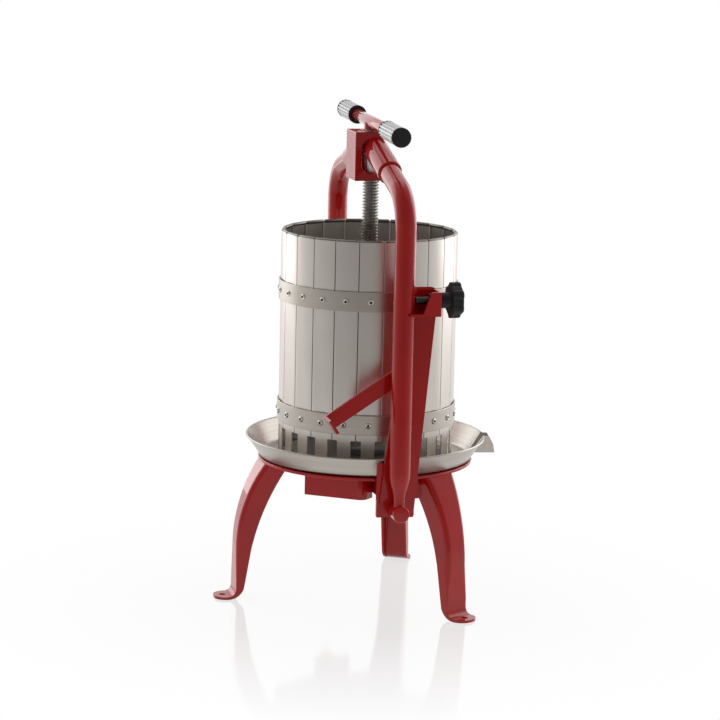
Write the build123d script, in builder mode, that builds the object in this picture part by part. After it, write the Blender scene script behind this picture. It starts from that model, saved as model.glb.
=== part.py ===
from build123d import *
from math import atan2, cos, degrees, radians, sin, sqrt, tan
import os

# Tilting basket press: millimetres, +Z up, origin on the floor under the press screw.
# The arch pivots about an axis along Y; the near side is -Y and the arch tilts towards -X.

# Gaps between pieces
close_gap = 0.1
running_gap = 0.2
loose_gap = 0.3

# Base disc and drip tray
disc_radius = 143
disc_edge = 1
disc_top = 188
disc_thickness = 4
disc_bottom = disc_top - disc_thickness
tray_wall = 1.2
tray_floor = disc_top + tray_wall
tray_base_radius = 140
tray_rim_radius = 158.6
tray_bead_radius = 1.4
tray_rim_height = 215.6
spout_angle = -9
spout_root = 130
spout_reach = 174
spout_lip_reach = 166
spout_floor = 194
spout_top_width = 26
spout_floor_width = 16

# Pressed legs, in the plane of each leg: distance from the axis and height
leg_angles = {"left_leg": 180, "near_leg": -60, "far_leg": 60}
leg_half_width = 18
leg_wall = 3
leg_sole = 3.5
leg_back_radius = 204
leg_back_reach = 177
leg_back_height = 69
leg_arc_middle = 17
leg_bend_radius = 10
leg_toe_reach = 204
leg_toe_corner = 16
leg_front_top = 110
leg_front_middle = (147.8, 102)
leg_heel_radius = 22
leg_hollow_start = 90
foot_hole_radius = 4.5
foot_hole_reach = 192
leg_screw_reach = 126
leg_screw_offset = 8
leg_screw_radius = 3
leg_screw_head = 6
leg_screw_end = 172
leg_nut_flats = 10
leg_nut_height = 5

# Cross beam and what stands on it
beam_half_width = 17
beam_bottom = 162
beam_wall = 5
beam_half_length = 158
plate_thickness = 4
plate_half_width = 25
plate_corner = 2
plate_top = 212
upright_foot = 141
upright_face = beam_half_length + plate_thickness
upright_thickness = 4
upright_front = upright_face + upright_thickness
upright_foot_left = -24
upright_foot_right = 23
upright_foot_corner = 1
upright_top = 440
upright_top_left = 10.5
upright_top_right = 49.5
upright_top_corner_left = 24
upright_top_corner_right = 10
far_upright_width = 46
far_upright_top = 236
far_upright_corner = 16
apron_bottom = 155
apron_thickness = 5
apron_face = 121
apron_wing_end = (-99, -77)
apron_corner = (-33, -123)
apron_return = (-11, -101)
apron_bend_radius = 8
apron_right_end = 46
apron_right_skew = 1.4

# Stop arm, in the plane of the upright
stop_arm_root = (12, 332.5)
stop_arm_end = (-91, 265.5)
stop_arm_width = 20
stop_flange_reach = 190

# Arch: tube legs, pivots and roof sleeves
pivot_height = 151
tube_radius = 13.45
tube_wall = 2.6
tube_offset = 181
tube_start = 203
tube_bend_start = 513.5
tube_bend_radius = 52
roof_slope = 17
roof_inner_end = 42
sleeve_bore = 13.65
sleeve_radius = 16.1
sleeve_outer_end = 98.5
neck_radius = 7.2
neck_height = 164
eye_radius = 10.8
eye_half_length = 10
eye_end_wall = 3
pin_radius = 5
pin_hole_radius = 5.3
pin_tip = 146
spacer_radius = 9.5
washer_radius = 10
washer_thickness = 1.6
pin_nut_flats = 17
pin_nut_height = 8

# Nut carrier, press nut and press screw
carrier_half_length = 25
carrier_left = -28
carrier_right = 16
carrier_bottom = 559
carrier_top = 623
carrier_wall = 5
carrier_lip = 3
carrier_lip_inset = 9
carrier_corner = 13
carrier_hole_radius = 12
press_nut_radius = 17
screw_radius = 11
screw_root_radius = 8.8
screw_pitch = 4
screw_bore_radius = 11.5
thread_start = 282
thread_turns = 82
thread_rise = screw_pitch / 8
thread_crest = screw_pitch / 2
screw_shoulder = 275
pintle_radius = 7
pintle_end = 259
pintle_gap = 0.5
foot_bottom = 252
foot_rim_top = 260
foot_boss_bottom = 263
foot_top = 274
foot_radius = 28
foot_boss_radius = 15
foot_bore_radius = 7.3

# T-handle
handle_angle = -94.5
handle_height = 633.5
handle_bar_radius = 8
handle_bar_reach = 207
grip_radius = 12.2
grip_start = 118
grip_end = 208
grip_flutes = 18
grip_flute_radius = 0.9
cap_thickness = 4
cap_radius = 12.5
cap_edge = 1.5
ring_thickness = 3
head_radius = 10.5
head_bottom = 624.5

# Basket of slats
slat_count = 23
slat_pitch = 360 / slat_count
slat_start = -102.7
slat_face = 115.7
slat_width = 30.4
slat_thickness = 1.5
slat_return = 3
slat_top = 492
slat_hem_radius = 2.4
slat_hem_inset = 2.5
drain_width = 14
drain_top = 230
drain_depth = 20
band_radius = 119
band_thickness = 1.9
band_height = 26
upper_band_bottom = 400
lower_band_bottom = 238.5
rivet_radius = 2
rivet_hole_radius = 2.15
rivet_hole_length = 8
rivet_head_radius = 4
rivet_head_height = 1.6
rivet_crown_radius = 2.4
rivet_tail_radius = 3.5
rivet_tail_height = 1

# Loose pressing plate
press_plate_radius = 109.5
press_plate_thickness = 5
press_plate_edge = 1.5
seat_radius = 36
seat_height = 11
seat_chamfer = 3

# Clamp bracket, stud and knob
bracket_wall = 3
bracket_bottom = 407
bracket_top = 438
bracket_left = 15
bracket_finger = 4
bracket_right = 44
bracket_front = 200
bracket_gusset_top = 31
bracket_gusset_foot = 19.5
saddle_radius = 14.4
finger_relief = 2
clamp_height = 425
stud_radius = 5
stud_tip = 13.8
stud_chamfer = 1
stud_hole_radius = 5.3
clamp_nut_flats = 17
clamp_nut_height = 9
clamp_washer_radius = 10
clamp_washer_thickness = 1.4
knob_hub_start = bracket_right + close_gap + clamp_washer_thickness + close_gap
knob_hub_radius = 10
knob_body_start = 59.5
knob_body_end = 73.5
knob_core_radius = 20
knob_lobes = 6
knob_lobe_angle = 30
knob_lobe_radius = 7
knob_lobe_reach = 16
knob_edge = 2.5


def polar(distance, angle):
    """A point at a distance from the axis, in plan."""
    return (distance * cos(radians(angle)), distance * sin(radians(angle)))


def upright_plane(angle):
    """A standing plane through the axis: x runs outwards along the angle, y runs up."""
    return Plane((0, 0, 0), x_dir=(*polar(1, angle), 0), z_dir=(*polar(1, angle - 90), 0))


def face_plane(distance):
    """A plane square to Y on the near side, with x along X, y up and its normal towards the near side."""
    return Plane((0, -distance, 0), x_dir=(1, 0, 0), z_dir=(0, -1, 0))


def far_copy(near_piece):
    """The piece of the far side that answers a piece of the near side."""
    with BuildPart() as far_piece:
        add(mirror(near_piece.part, about=Plane.XZ))
    return far_piece


# Base disc with countersunk holes for the leg screws
leg_screw_places = [
    polar(sqrt(leg_screw_reach**2 + side**2), angle + degrees(atan2(side, leg_screw_reach)))
    for angle in leg_angles.values()
    for side in (-leg_screw_offset, leg_screw_offset)
]

with BuildPart() as base_disc:
    with BuildSketch(Plane.XY.offset(disc_bottom)):
        Circle(disc_radius)
    extrude(amount=disc_thickness)
    fillet(base_disc.edges(), disc_edge)
    with Locations(*[(x, y, disc_top) for x, y in leg_screw_places]):
        CounterSinkHole(leg_screw_radius + running_gap, leg_screw_head + loose_gap, counter_sink_angle=90)

with BuildPart() as leg_screws:
    with BuildSketch(Plane.XY.offset(leg_screw_end)):
        with Locations(*leg_screw_places):
            Circle(leg_screw_radius)
    extrude(amount=disc_top - leg_screw_head + leg_screw_radius - leg_screw_end)
    with Locations(*[(x, y, disc_top - loose_gap) for x, y in leg_screw_places]):
        Cone(leg_screw_radius, leg_screw_head, leg_screw_head - leg_screw_radius,
             align=(Align.CENTER, Align.CENTER, Align.MAX))

with BuildPart() as leg_nuts:
    with BuildSketch(Plane.XY.offset(disc_bottom - leg_wall - leg_nut_height)):
        with Locations(*leg_screw_places):
            RegularPolygon(leg_nut_flats / 2, 6, major_radius=False)
            Circle(leg_screw_radius + close_gap, mode=Mode.SUBTRACT)
    extrude(amount=leg_nut_height)


# Pressed channel legs with a drilled toe
def pressed_leg(angle):
    """One leg: a curved web, two tapering flanges, a top tab and a flat toe."""
    plane = upright_plane(angle)
    back_centre = leg_back_reach - leg_back_radius
    back_top = back_centre + sqrt(leg_back_radius**2 - (disc_bottom - leg_back_height)**2)
    back_middle = back_centre + leg_back_radius * cos(radians(leg_arc_middle))
    back_middle_height = leg_back_height + leg_back_radius * sin(radians(leg_arc_middle))
    bend_height = leg_sole + leg_bend_radius
    heel_end = leg_back_reach + leg_bend_radius
    with BuildPart() as leg:
        with BuildSketch(plane):
            with BuildLine():
                ThreePointArc((back_top, disc_bottom), (back_middle, back_middle_height),
                              (leg_back_reach, leg_back_height))
                Line((leg_back_reach, leg_back_height), (leg_back_reach, bend_height))
                RadiusArc((leg_back_reach, bend_height), (leg_back_reach + leg_bend_radius, leg_sole),
                          -leg_bend_radius)
                Polyline((leg_back_reach + leg_bend_radius, leg_sole), (leg_toe_reach, leg_sole),
                         (leg_toe_reach, 0), (heel_end, 0))
                RadiusArc((heel_end, 0), (heel_end - leg_heel_radius, leg_heel_radius), leg_heel_radius)
                ThreePointArc((heel_end - leg_heel_radius, leg_heel_radius), leg_front_middle,
                              (leg_front_top, disc_bottom))
                Line((leg_front_top, disc_bottom), (back_top, disc_bottom))
            make_face()
        extrude(amount=leg_half_width, both=True)
        hollow_radius = leg_back_radius - leg_wall
        hollow_top = disc_bottom - leg_wall
        hollow_reach = back_centre + sqrt(hollow_radius**2 - (hollow_top - leg_back_height)**2)
        hollow_middle = back_centre + hollow_radius * cos(radians(leg_arc_middle))
        hollow_middle_height = leg_back_height + hollow_radius * sin(radians(leg_arc_middle))
        with BuildSketch(plane):
            with BuildLine():
                ThreePointArc((hollow_reach, hollow_top), (hollow_middle, hollow_middle_height),
                              (leg_back_reach - leg_wall, leg_back_height))
                Polyline((leg_back_reach - leg_wall, leg_back_height),
                         (leg_back_reach - leg_wall, leg_sole), (leg_hollow_start, leg_sole),
                         (leg_hollow_start, hollow_top), (hollow_reach, hollow_top))
            make_face()
        extrude(amount=leg_half_width - leg_wall, both=True, mode=Mode.SUBTRACT)
        toe_middle = (*polar(leg_toe_reach, angle), 0)
        fillet(leg.edges().filter_by(Axis.Z).sort_by_distance(toe_middle)[:2], leg_toe_corner)
        with Locations((*polar(foot_hole_reach, angle), leg_sole)):
            Hole(foot_hole_radius)
        with Locations(*[(x, y, disc_bottom) for x, y in leg_screw_places]):
            Hole(leg_screw_radius + running_gap, depth=2 * leg_wall)
    return leg


legs = {name: pressed_leg(angle) for name, angle in leg_angles.items()}


# Cross beam: an open channel under the disc, from pivot to pivot
with BuildPart() as cross_beam:
    with BuildSketch(face_plane(-beam_half_length)):
        with Locations((0, (beam_bottom + disc_bottom) / 2)):
            Rectangle(2 * beam_half_width, disc_bottom - beam_bottom)
        with Locations((0, (beam_bottom + disc_bottom) / 2 - beam_wall)):
            Rectangle(2 * (beam_half_width - beam_wall), disc_bottom - beam_bottom, mode=Mode.SUBTRACT)
    extrude(amount=2 * beam_half_length)

with BuildPart() as near_beam_plate:
    with BuildSketch(face_plane(beam_half_length)) as plate_outline:
        with Locations((0, (upright_foot + plate_top) / 2)):
            Rectangle(2 * plate_half_width, plate_top - upright_foot)
        fillet(plate_outline.vertices(), plate_corner)
        with Locations((0, pivot_height)):
            Circle(pin_hole_radius, mode=Mode.SUBTRACT)
    extrude(amount=plate_thickness)

far_beam_plate = far_copy(near_beam_plate)

# Aprons: flat bars on edge that stiffen the disc on both sides of the beam
with BuildPart() as near_left_apron:
    with BuildLine(Plane.XY.offset((apron_bottom + disc_bottom) / 2)) as apron_path:
        FilletPolyline(apron_wing_end, apron_corner, apron_return, radius=apron_bend_radius)
    with BuildSketch(Plane(apron_path.line @ 0, z_dir=apron_path.line % 0, x_dir=(0, 0, 1))):
        Rectangle(disc_bottom - apron_bottom, apron_thickness)
    sweep()
    split(bisect_by=Plane((-beam_half_width, 0, 0), z_dir=(1, 0, 0)), keep=Keep.BOTTOM)

with BuildPart() as near_right_apron:
    with BuildSketch(Plane.XY.offset(apron_bottom)):
        with BuildLine():
            Polyline((beam_half_width, -apron_face - apron_thickness / 2),
                     (apron_right_end + apron_right_skew, -apron_face - apron_thickness / 2),
                     (apron_right_end - apron_right_skew, -apron_face + apron_thickness / 2),
                     (beam_half_width, -apron_face + apron_thickness / 2), close=True)
        make_face()
    extrude(amount=disc_bottom - apron_bottom)

far_left_apron = far_copy(near_left_apron)
far_right_apron = far_copy(near_right_apron)

# Uprights: the near strap leans to the clamp, the far one only carries the pivot
with BuildPart() as near_upright:
    with BuildSketch(face_plane(upright_face)) as strap_outline:
        with BuildLine():
            Polyline((upright_foot_left, upright_foot), (upright_foot_right, upright_foot),
                     (upright_top_right, upright_top), (upright_top_left, upright_top), close=True)
        make_face()
        fillet(strap_outline.vertices().group_by(Axis.Z)[-1].sort_by(Axis.X)[0], upright_top_corner_left)
        fillet(strap_outline.vertices().group_by(Axis.Z)[-1].sort_by(Axis.X)[-1], upright_top_corner_right)
        fillet(strap_outline.vertices().group_by(Axis.Z)[0], upright_foot_corner)
        with Locations((0, pivot_height)):
            Circle(pin_hole_radius, mode=Mode.SUBTRACT)
    extrude(amount=upright_thickness)

with BuildPart() as far_upright:
    with BuildSketch(face_plane(-upright_front)) as far_outline:
        with Locations((0, (upright_foot + far_upright_top) / 2)):
            Rectangle(far_upright_width, far_upright_top - upright_foot)
        fillet(far_outline.vertices().group_by(Axis.Z)[-1], far_upright_corner)
        with Locations((0, pivot_height)):
            Circle(pin_hole_radius, mode=Mode.SUBTRACT)
    extrude(amount=upright_thickness)

# Stop arm: a flat bar behind the strap, its lower end turned out to catch the tilted arch
stop_arm_run = Vector(*stop_arm_end) - Vector(*stop_arm_root)
stop_arm_slope = degrees(atan2(stop_arm_run.Y, stop_arm_run.X))

with BuildPart() as stop_arm:
    with BuildSketch(face_plane(beam_half_length)):
        with Locations(Location((*stop_arm_root, 0), (0, 0, stop_arm_slope))):
            Rectangle(stop_arm_run.length, stop_arm_width, align=(Align.MIN, Align.CENTER))
    extrude(amount=plate_thickness)
    with BuildSketch(face_plane(beam_half_length)):
        with Locations(Location((*stop_arm_end, 0), (0, 0, stop_arm_slope))):
            Rectangle(plate_thickness, stop_arm_width, align=(Align.MAX, Align.CENTER))
    extrude(amount=stop_flange_reach - beam_half_length)

# Clamp bracket: back wall, saddle floor with a finger round the tube, end wall and front gusset
with BuildPart() as clamp_bracket:
    with BuildSketch(Plane.XY.offset(bracket_bottom)):
        with Locations((bracket_finger, -bracket_front)):
            Rectangle(bracket_right - bracket_finger, bracket_front - upright_front,
                      align=(Align.MIN, Align.MIN))
        with Locations((0, -tube_offset)):
            Circle(saddle_radius, mode=Mode.SUBTRACT)
        with Locations((bracket_finger, -upright_front)):
            Rectangle(bracket_left - bracket_finger, finger_relief, align=(Align.MIN, Align.MAX),
                      mode=Mode.SUBTRACT)
    extrude(amount=bracket_wall)
    with Locations((bracket_left, -upright_front, bracket_bottom)):
        Box(bracket_right - bracket_left, bracket_wall, bracket_top - bracket_bottom,
            align=(Align.MIN, Align.MAX, Align.MIN))
    with Locations((bracket_right, -upright_front, bracket_bottom)):
        Box(bracket_wall, bracket_front - upright_front, bracket_top - bracket_bottom,
            align=(Align.MAX, Align.MAX, Align.MIN))
    with BuildSketch(face_plane(bracket_front - bracket_wall)):
        with BuildLine():
            Polyline((bracket_gusset_foot, bracket_bottom), (bracket_right, bracket_bottom),
                     (bracket_right, bracket_top), (bracket_gusset_top, bracket_top), close=True)
        make_face()
    extrude(amount=bracket_wall)
    with Locations(Location((bracket_right, -tube_offset, clamp_height), (0, 90, 0))):
        Hole(stud_hole_radius, depth=bracket_wall)

with BuildPart() as clamp_nut:
    nut_plane = Plane((bracket_right - bracket_wall - clamp_nut_height, -tube_offset, clamp_height),
                      x_dir=(0, 1, 0), z_dir=(1, 0, 0))
    with BuildSketch(nut_plane):
        RegularPolygon(clamp_nut_flats / 2, 6, major_radius=False)
        Circle(stud_radius + running_gap, mode=Mode.SUBTRACT)
    extrude(amount=clamp_nut_height)

# Clamp stud, washer and star knob, all on one axis along X
clamp_plane = Plane((0, -tube_offset, clamp_height), x_dir=(0, 1, 0), z_dir=(1, 0, 0))

with BuildPart() as clamp_stud:
    with BuildSketch(clamp_plane.offset(stud_tip)):
        Circle(stud_radius)
    extrude(amount=knob_body_start - stud_tip)
    chamfer(clamp_stud.edges().sort_by(Axis.X)[0], stud_chamfer)

with BuildPart() as clamp_washer:
    with BuildSketch(clamp_plane.offset(bracket_right + close_gap)):
        Circle(clamp_washer_radius)
        Circle(stud_radius + loose_gap, mode=Mode.SUBTRACT)
    extrude(amount=clamp_washer_thickness)

with BuildPart() as clamp_knob:
    with BuildSketch(clamp_plane.offset(knob_hub_start)):
        Circle(knob_hub_radius)
    extrude(amount=knob_body_start - knob_hub_start)
    with BuildSketch(clamp_plane.offset(knob_body_start)):
        Circle(knob_core_radius)
        with PolarLocations(knob_lobe_reach, knob_lobes, start_angle=knob_lobe_angle):
            Circle(knob_lobe_radius)
    extrude(amount=knob_body_end - knob_body_start)
    fillet(clamp_knob.faces().sort_by(Axis.X)[-1].edges(), knob_edge)
    with Locations(clamp_plane.offset(knob_hub_start)):
        Cylinder(stud_radius, knob_body_start - knob_hub_start, mode=Mode.SUBTRACT,
                 align=(Align.CENTER, Align.CENTER, Align.MIN))

# Drip tray: a flared dish with a beaded rim and a pouring spout
spout_section = Plane((*polar(spout_root, spout_angle), 0), x_dir=(*polar(1, spout_angle + 90), 0),
                      z_dir=(*polar(1, spout_angle), 0))


def dish_profile(inset):
    """Half section of the flared dish, drawn in by an inset on its floor and wall."""
    top_radius = tray_rim_radius + tray_wall / 2 - inset
    Polyline((0, disc_top + inset), (tray_base_radius - inset, disc_top + inset),
             (top_radius, tray_rim_height), (0, tray_rim_height), close=True)


def spout_profile(inset):
    """Cross section of the spout, open at the rim, drawn in by an inset."""
    Polyline((-spout_floor_width / 2 + inset, spout_floor - tray_wall + inset),
             (spout_floor_width / 2 - inset, spout_floor - tray_wall + inset),
             (spout_top_width / 2 - inset, tray_rim_height),
             (-spout_top_width / 2 + inset, tray_rim_height), close=True)


spout_mouth = Plane((*polar(spout_reach, spout_angle), spout_floor), x_dir=(*polar(1, spout_angle + 90), 0),
                    z_dir=(*polar(tray_rim_height - spout_floor, spout_angle), spout_reach - spout_lip_reach))

with BuildPart() as spout_block:
    with BuildSketch(spout_section):
        with BuildLine():
            spout_profile(0)
        make_face()
    extrude(amount=2 * (spout_reach - spout_root))
    split(bisect_by=spout_mouth, keep=Keep.BOTTOM)

with BuildPart() as drip_tray:
    with BuildSketch(Plane.XZ):
        with BuildLine():
            dish_profile(0)
        make_face()
    revolve(axis=Axis.Z)
    add(spout_block.part)
    with BuildSketch(Plane.XZ):
        with BuildLine():
            dish_profile(tray_wall)
        make_face()
    revolve(axis=Axis.Z, mode=Mode.SUBTRACT)
    with Locations((0, 0, tray_rim_height)):
        Torus(tray_rim_radius, tray_bead_radius)
    with BuildSketch(spout_section):
        with BuildLine():
            spout_profile(tray_wall)
        make_face()
        with Locations((0, tray_rim_height)):
            Rectangle(spout_top_width - 2 * tray_wall, 2 * tray_bead_radius,
                      align=(Align.CENTER, Align.MIN))
    extrude(amount=2 * (spout_reach - spout_root), mode=Mode.SUBTRACT)

# Basket: slats with turned-in edges and a rolled hem on top, two bands and a rivet through each slat and band
slat_middle = slat_face - slat_thickness / 2
upper_band_middle = upper_band_bottom + band_height / 2
lower_band_middle = lower_band_bottom + band_height / 2

with BuildPart() as basket_slats:
    with BuildSketch(Plane.XY.offset(tray_floor)):
        with PolarLocations(slat_middle, slat_count, start_angle=slat_start):
            Rectangle(slat_thickness, slat_width)
            with Locations((slat_thickness / 2, slat_width / 2),
                           (slat_thickness / 2, slat_thickness - slat_width / 2)):
                Rectangle(slat_return, slat_thickness, align=(Align.MAX, Align.MAX))
    extrude(amount=slat_top - slat_hem_radius - tray_floor)
    with Locations((0, 0, slat_top - slat_hem_radius)):
        with PolarLocations(slat_face - slat_hem_radius, slat_count, start_angle=slat_start):
            Cylinder(slat_hem_radius, slat_width - 2 * slat_hem_inset, rotation=(90, 0, 0))
    with Locations((0, 0, tray_floor)):
        with PolarLocations(slat_face, slat_count, start_angle=slat_start + slat_pitch / 2):
            Box(drain_depth, drain_width, drain_top - tray_floor,
                align=(Align.CENTER, Align.CENTER, Align.MIN), mode=Mode.SUBTRACT)
    for middle in (upper_band_middle, lower_band_middle):
        with Locations((0, 0, middle)):
            with PolarLocations(slat_face, slat_count, start_angle=slat_start):
                Cylinder(rivet_hole_radius, rivet_hole_length, rotation=(0, 90, 0), mode=Mode.SUBTRACT)


def basket_band(bottom):
    """A hoop round the slats, with a hole at the middle of each slat."""
    with BuildPart() as band:
        with BuildSketch(Plane.XY.offset(bottom)):
            Circle(band_radius)
            Circle(band_radius - band_thickness, mode=Mode.SUBTRACT)
        extrude(amount=band_height)
        with Locations((0, 0, bottom + band_height / 2)):
            with PolarLocations(band_radius, slat_count, start_angle=slat_start):
                Cylinder(rivet_hole_radius, rivet_hole_length, rotation=(0, 90, 0), mode=Mode.SUBTRACT)
    return band


def band_rivets(middle):
    """One rivet for each slat: a head on the band, a shank, and a tail inside the slat."""
    shank_start = slat_face - slat_thickness
    with BuildPart() as rivets:
        with Locations((0, 0, middle)):
            with PolarLocations(shank_start, slat_count, start_angle=slat_start):
                Cylinder(rivet_radius, band_radius + running_gap - shank_start, rotation=(0, 90, 0),
                         align=(Align.CENTER, Align.CENTER, Align.MIN))
                Cylinder(rivet_tail_radius, rivet_tail_height, rotation=(0, 90, 0),
                         align=(Align.CENTER, Align.CENTER, Align.MAX))
            with PolarLocations(band_radius + close_gap, slat_count, start_angle=slat_start):
                Cone(rivet_head_radius, rivet_crown_radius, rivet_head_height, rotation=(0, 90, 0),
                     align=(Align.CENTER, Align.CENTER, Align.MIN))
    return rivets


upper_band = basket_band(upper_band_bottom)
lower_band = basket_band(lower_band_bottom)
upper_rivets = band_rivets(upper_band_middle)
lower_rivets = band_rivets(lower_band_middle)

# Loose pressing plate with a raised seat for the screw foot
with BuildPart() as pressing_plate:
    with BuildSketch(Plane.XY.offset(tray_floor)):
        Circle(press_plate_radius)
    extrude(amount=press_plate_thickness)
    fillet(pressing_plate.edges(), press_plate_edge)

with BuildPart() as plate_seat:
    with BuildSketch(Plane.XY.offset(tray_floor + press_plate_thickness)):
        Circle(seat_radius)
    extrude(amount=seat_height)
    chamfer(plate_seat.edges().group_by(Axis.Z)[-1], seat_chamfer)

# Arch: each tube stands, bends over and runs up the roof into its sleeve
bend_turn = 90 - roof_slope
bend_end = (-tube_offset + tube_bend_radius * (1 - cos(radians(bend_turn))),
            tube_bend_start + tube_bend_radius * sin(radians(bend_turn)))


def roof_height(distance):
    """Height of the tube's middle line on the roof, at a distance from the screw axis."""
    return bend_end[1] + (-distance - bend_end[0]) * tan(radians(roof_slope))


with BuildPart() as near_arch_tube:
    with BuildLine(Plane.YZ) as tube_path:
        Line((-tube_offset, tube_start), (-tube_offset, tube_bend_start))
        RadiusArc((-tube_offset, tube_bend_start), bend_end, tube_bend_radius)
        Line(bend_end, (-roof_inner_end, roof_height(roof_inner_end)))
    with BuildSketch(Plane((0, -tube_offset, tube_start))):
        Circle(tube_radius)
        Circle(tube_radius - tube_wall, mode=Mode.SUBTRACT)
    sweep()

roof_direction = Vector(0, cos(radians(roof_slope)), sin(radians(roof_slope)))
sleeve_plane = Plane((0, -sleeve_outer_end, roof_height(sleeve_outer_end)), x_dir=(1, 0, 0),
                     z_dir=roof_direction)

with BuildPart() as near_sleeve:
    with BuildSketch(sleeve_plane):
        Circle(sleeve_radius)
        Circle(sleeve_bore, mode=Mode.SUBTRACT)
    extrude(amount=sleeve_outer_end)
    split(bisect_by=Plane((0, -carrier_half_length, 0), z_dir=(0, 1, 0)), keep=Keep.BOTTOM)

with BuildPart() as near_arch_eye:
    with BuildSketch(face_plane(tube_offset)):
        with BuildLine():
            Polyline((0, pivot_height), (neck_radius, pivot_height), (neck_radius, neck_height),
                     (tube_radius, tube_start), (0, tube_start), close=True)
        make_face()
    revolve(axis=Axis((0, -tube_offset, 0), (0, 0, 1)))
    with BuildSketch(face_plane(tube_offset - eye_half_length)):
        with Locations((0, pivot_height)):
            Circle(eye_radius)
    extrude(amount=2 * eye_half_length)
    with BuildSketch(face_plane(tube_offset - eye_half_length)):
        with Locations((0, pivot_height)):
            Circle(pin_radius)
    extrude(amount=2 * eye_half_length - eye_end_wall, mode=Mode.SUBTRACT)

with BuildPart() as near_pivot_pin:
    with BuildSketch(face_plane(pin_tip)):
        with Locations((0, pivot_height)):
            Circle(pin_radius)
    extrude(amount=tube_offset + eye_half_length - eye_end_wall - pin_tip)

with BuildPart() as near_pivot_spacer:
    with BuildSketch(face_plane(upright_front + loose_gap)):
        with Locations((0, pivot_height)):
            Circle(spacer_radius)
            Circle(pin_radius + close_gap, mode=Mode.SUBTRACT)
    extrude(amount=tube_offset - eye_half_length - upright_front - loose_gap)

with BuildPart() as near_pivot_washer:
    with BuildSketch(face_plane(beam_half_length - running_gap - washer_thickness)):
        with Locations((0, pivot_height)):
            Circle(washer_radius)
            Circle(pin_radius + close_gap, mode=Mode.SUBTRACT)
    extrude(amount=washer_thickness)

with BuildPart() as near_pivot_nut:
    with BuildSketch(face_plane(beam_half_length - running_gap - washer_thickness - pin_nut_height)):
        with Locations((0, pivot_height)):
            RegularPolygon(pin_nut_flats / 2, 6, major_radius=False)
            Circle(pin_radius + close_gap, mode=Mode.SUBTRACT)
    extrude(amount=pin_nut_height)

far_arch_tube = far_copy(near_arch_tube)
far_sleeve = far_copy(near_sleeve)
far_arch_eye = far_copy(near_arch_eye)
far_pivot_pin = far_copy(near_pivot_pin)
far_pivot_spacer = far_copy(near_pivot_spacer)
far_pivot_washer = far_copy(near_pivot_washer)
far_pivot_nut = far_copy(near_pivot_nut)

# Nut carrier: an open channel with lipped ends that joins the sleeves and holds the press nut
carrier_height = carrier_top - carrier_bottom
carrier_width = carrier_right - carrier_left

with BuildPart() as nut_carrier:
    with Locations((carrier_left, 0, carrier_bottom)):
        Box(carrier_width, 2 * carrier_half_length, carrier_height,
            align=(Align.MIN, Align.CENTER, Align.MIN))
    with Locations((carrier_left + carrier_wall, 0, carrier_bottom + carrier_wall)):
        Box(carrier_width, 2 * (carrier_half_length - carrier_lip), carrier_height - 2 * carrier_wall,
            align=(Align.MIN, Align.CENTER, Align.MIN), mode=Mode.SUBTRACT)
    with BuildSketch(face_plane(-carrier_half_length)) as lip_opening:
        with Locations((carrier_left + carrier_lip_inset, carrier_bottom + carrier_lip_inset)):
            Rectangle(2 * carrier_width, carrier_height - 2 * carrier_lip_inset,
                      align=(Align.MIN, Align.MIN))
        fillet(lip_opening.vertices(), carrier_corner)
    extrude(amount=2 * carrier_half_length, mode=Mode.SUBTRACT)
    with Locations((0, 0, carrier_top)):
        Hole(carrier_hole_radius)

with BuildPart() as press_nut:
    with BuildSketch(Plane.XY.offset(carrier_bottom + carrier_wall)):
        Circle(press_nut_radius)
        Circle(screw_bore_radius, mode=Mode.SUBTRACT)
    extrude(amount=carrier_height - 2 * carrier_wall)

# Press screw with turned grooves at the thread's pitch, and the collar that the bar is welded into
thread_points = []
for turn in range(thread_turns):
    base = thread_start + turn * screw_pitch
    thread_points += [(screw_root_radius, base), (screw_radius, base + thread_rise),
                      (screw_radius, base + thread_crest),
                      (screw_root_radius, base + thread_crest + thread_rise)]
thread_end = thread_start + thread_turns * screw_pitch

with BuildPart() as press_screw:
    with BuildSketch(Plane.XZ):
        with BuildLine():
            Polyline((0, pintle_end), (pintle_radius, pintle_end), (pintle_radius, screw_shoulder),
                     (screw_root_radius, screw_shoulder), *thread_points, (screw_root_radius, thread_end),
                     (screw_root_radius, head_bottom), (0, head_bottom), close=True)
        make_face()
    revolve(axis=Axis.Z)

handle_plane = Plane((0, 0, handle_height), x_dir=(*polar(1, handle_angle + 90), 0),
                     z_dir=(*polar(1, handle_angle), 0))

with BuildPart() as screw_head:
    with BuildSketch(Plane.XY.offset(head_bottom)):
        Circle(head_radius)
    extrude(amount=handle_height - head_bottom)
    with Locations(handle_plane):
        Cylinder(handle_bar_radius, 4 * head_radius, mode=Mode.SUBTRACT)

# T-bar with ribbed grips, rings at their inner ends and caps at their outer ends
with BuildPart() as t_bar:
    with BuildSketch(handle_plane.offset(-handle_bar_reach)):
        Circle(handle_bar_radius)
    extrude(amount=2 * handle_bar_reach)


def along_bar(side, start):
    """A plane square to the bar, at a distance from its middle towards the near or far end."""
    return handle_plane.offset(start) if side > 0 else Plane(
        handle_plane.offset(-start).origin, x_dir=handle_plane.x_dir, z_dir=-handle_plane.z_dir)


def hand_grip(side):
    """A fluted sleeve on one end of the bar."""
    with BuildPart() as grip:
        with BuildSketch(along_bar(side, grip_start)):
            Circle(grip_radius)
            Circle(handle_bar_radius + close_gap, mode=Mode.SUBTRACT)
            with PolarLocations(grip_radius, grip_flutes):
                Circle(grip_flute_radius, mode=Mode.SUBTRACT)
        extrude(amount=grip_end - grip_start)
    return grip


def grip_ring(side):
    """The ring at the inner end of a grip."""
    with BuildPart() as ring:
        with BuildSketch(along_bar(side, grip_start - ring_thickness)):
            Circle(cap_radius)
            Circle(handle_bar_radius + close_gap, mode=Mode.SUBTRACT)
        extrude(amount=ring_thickness)
    return ring


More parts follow.
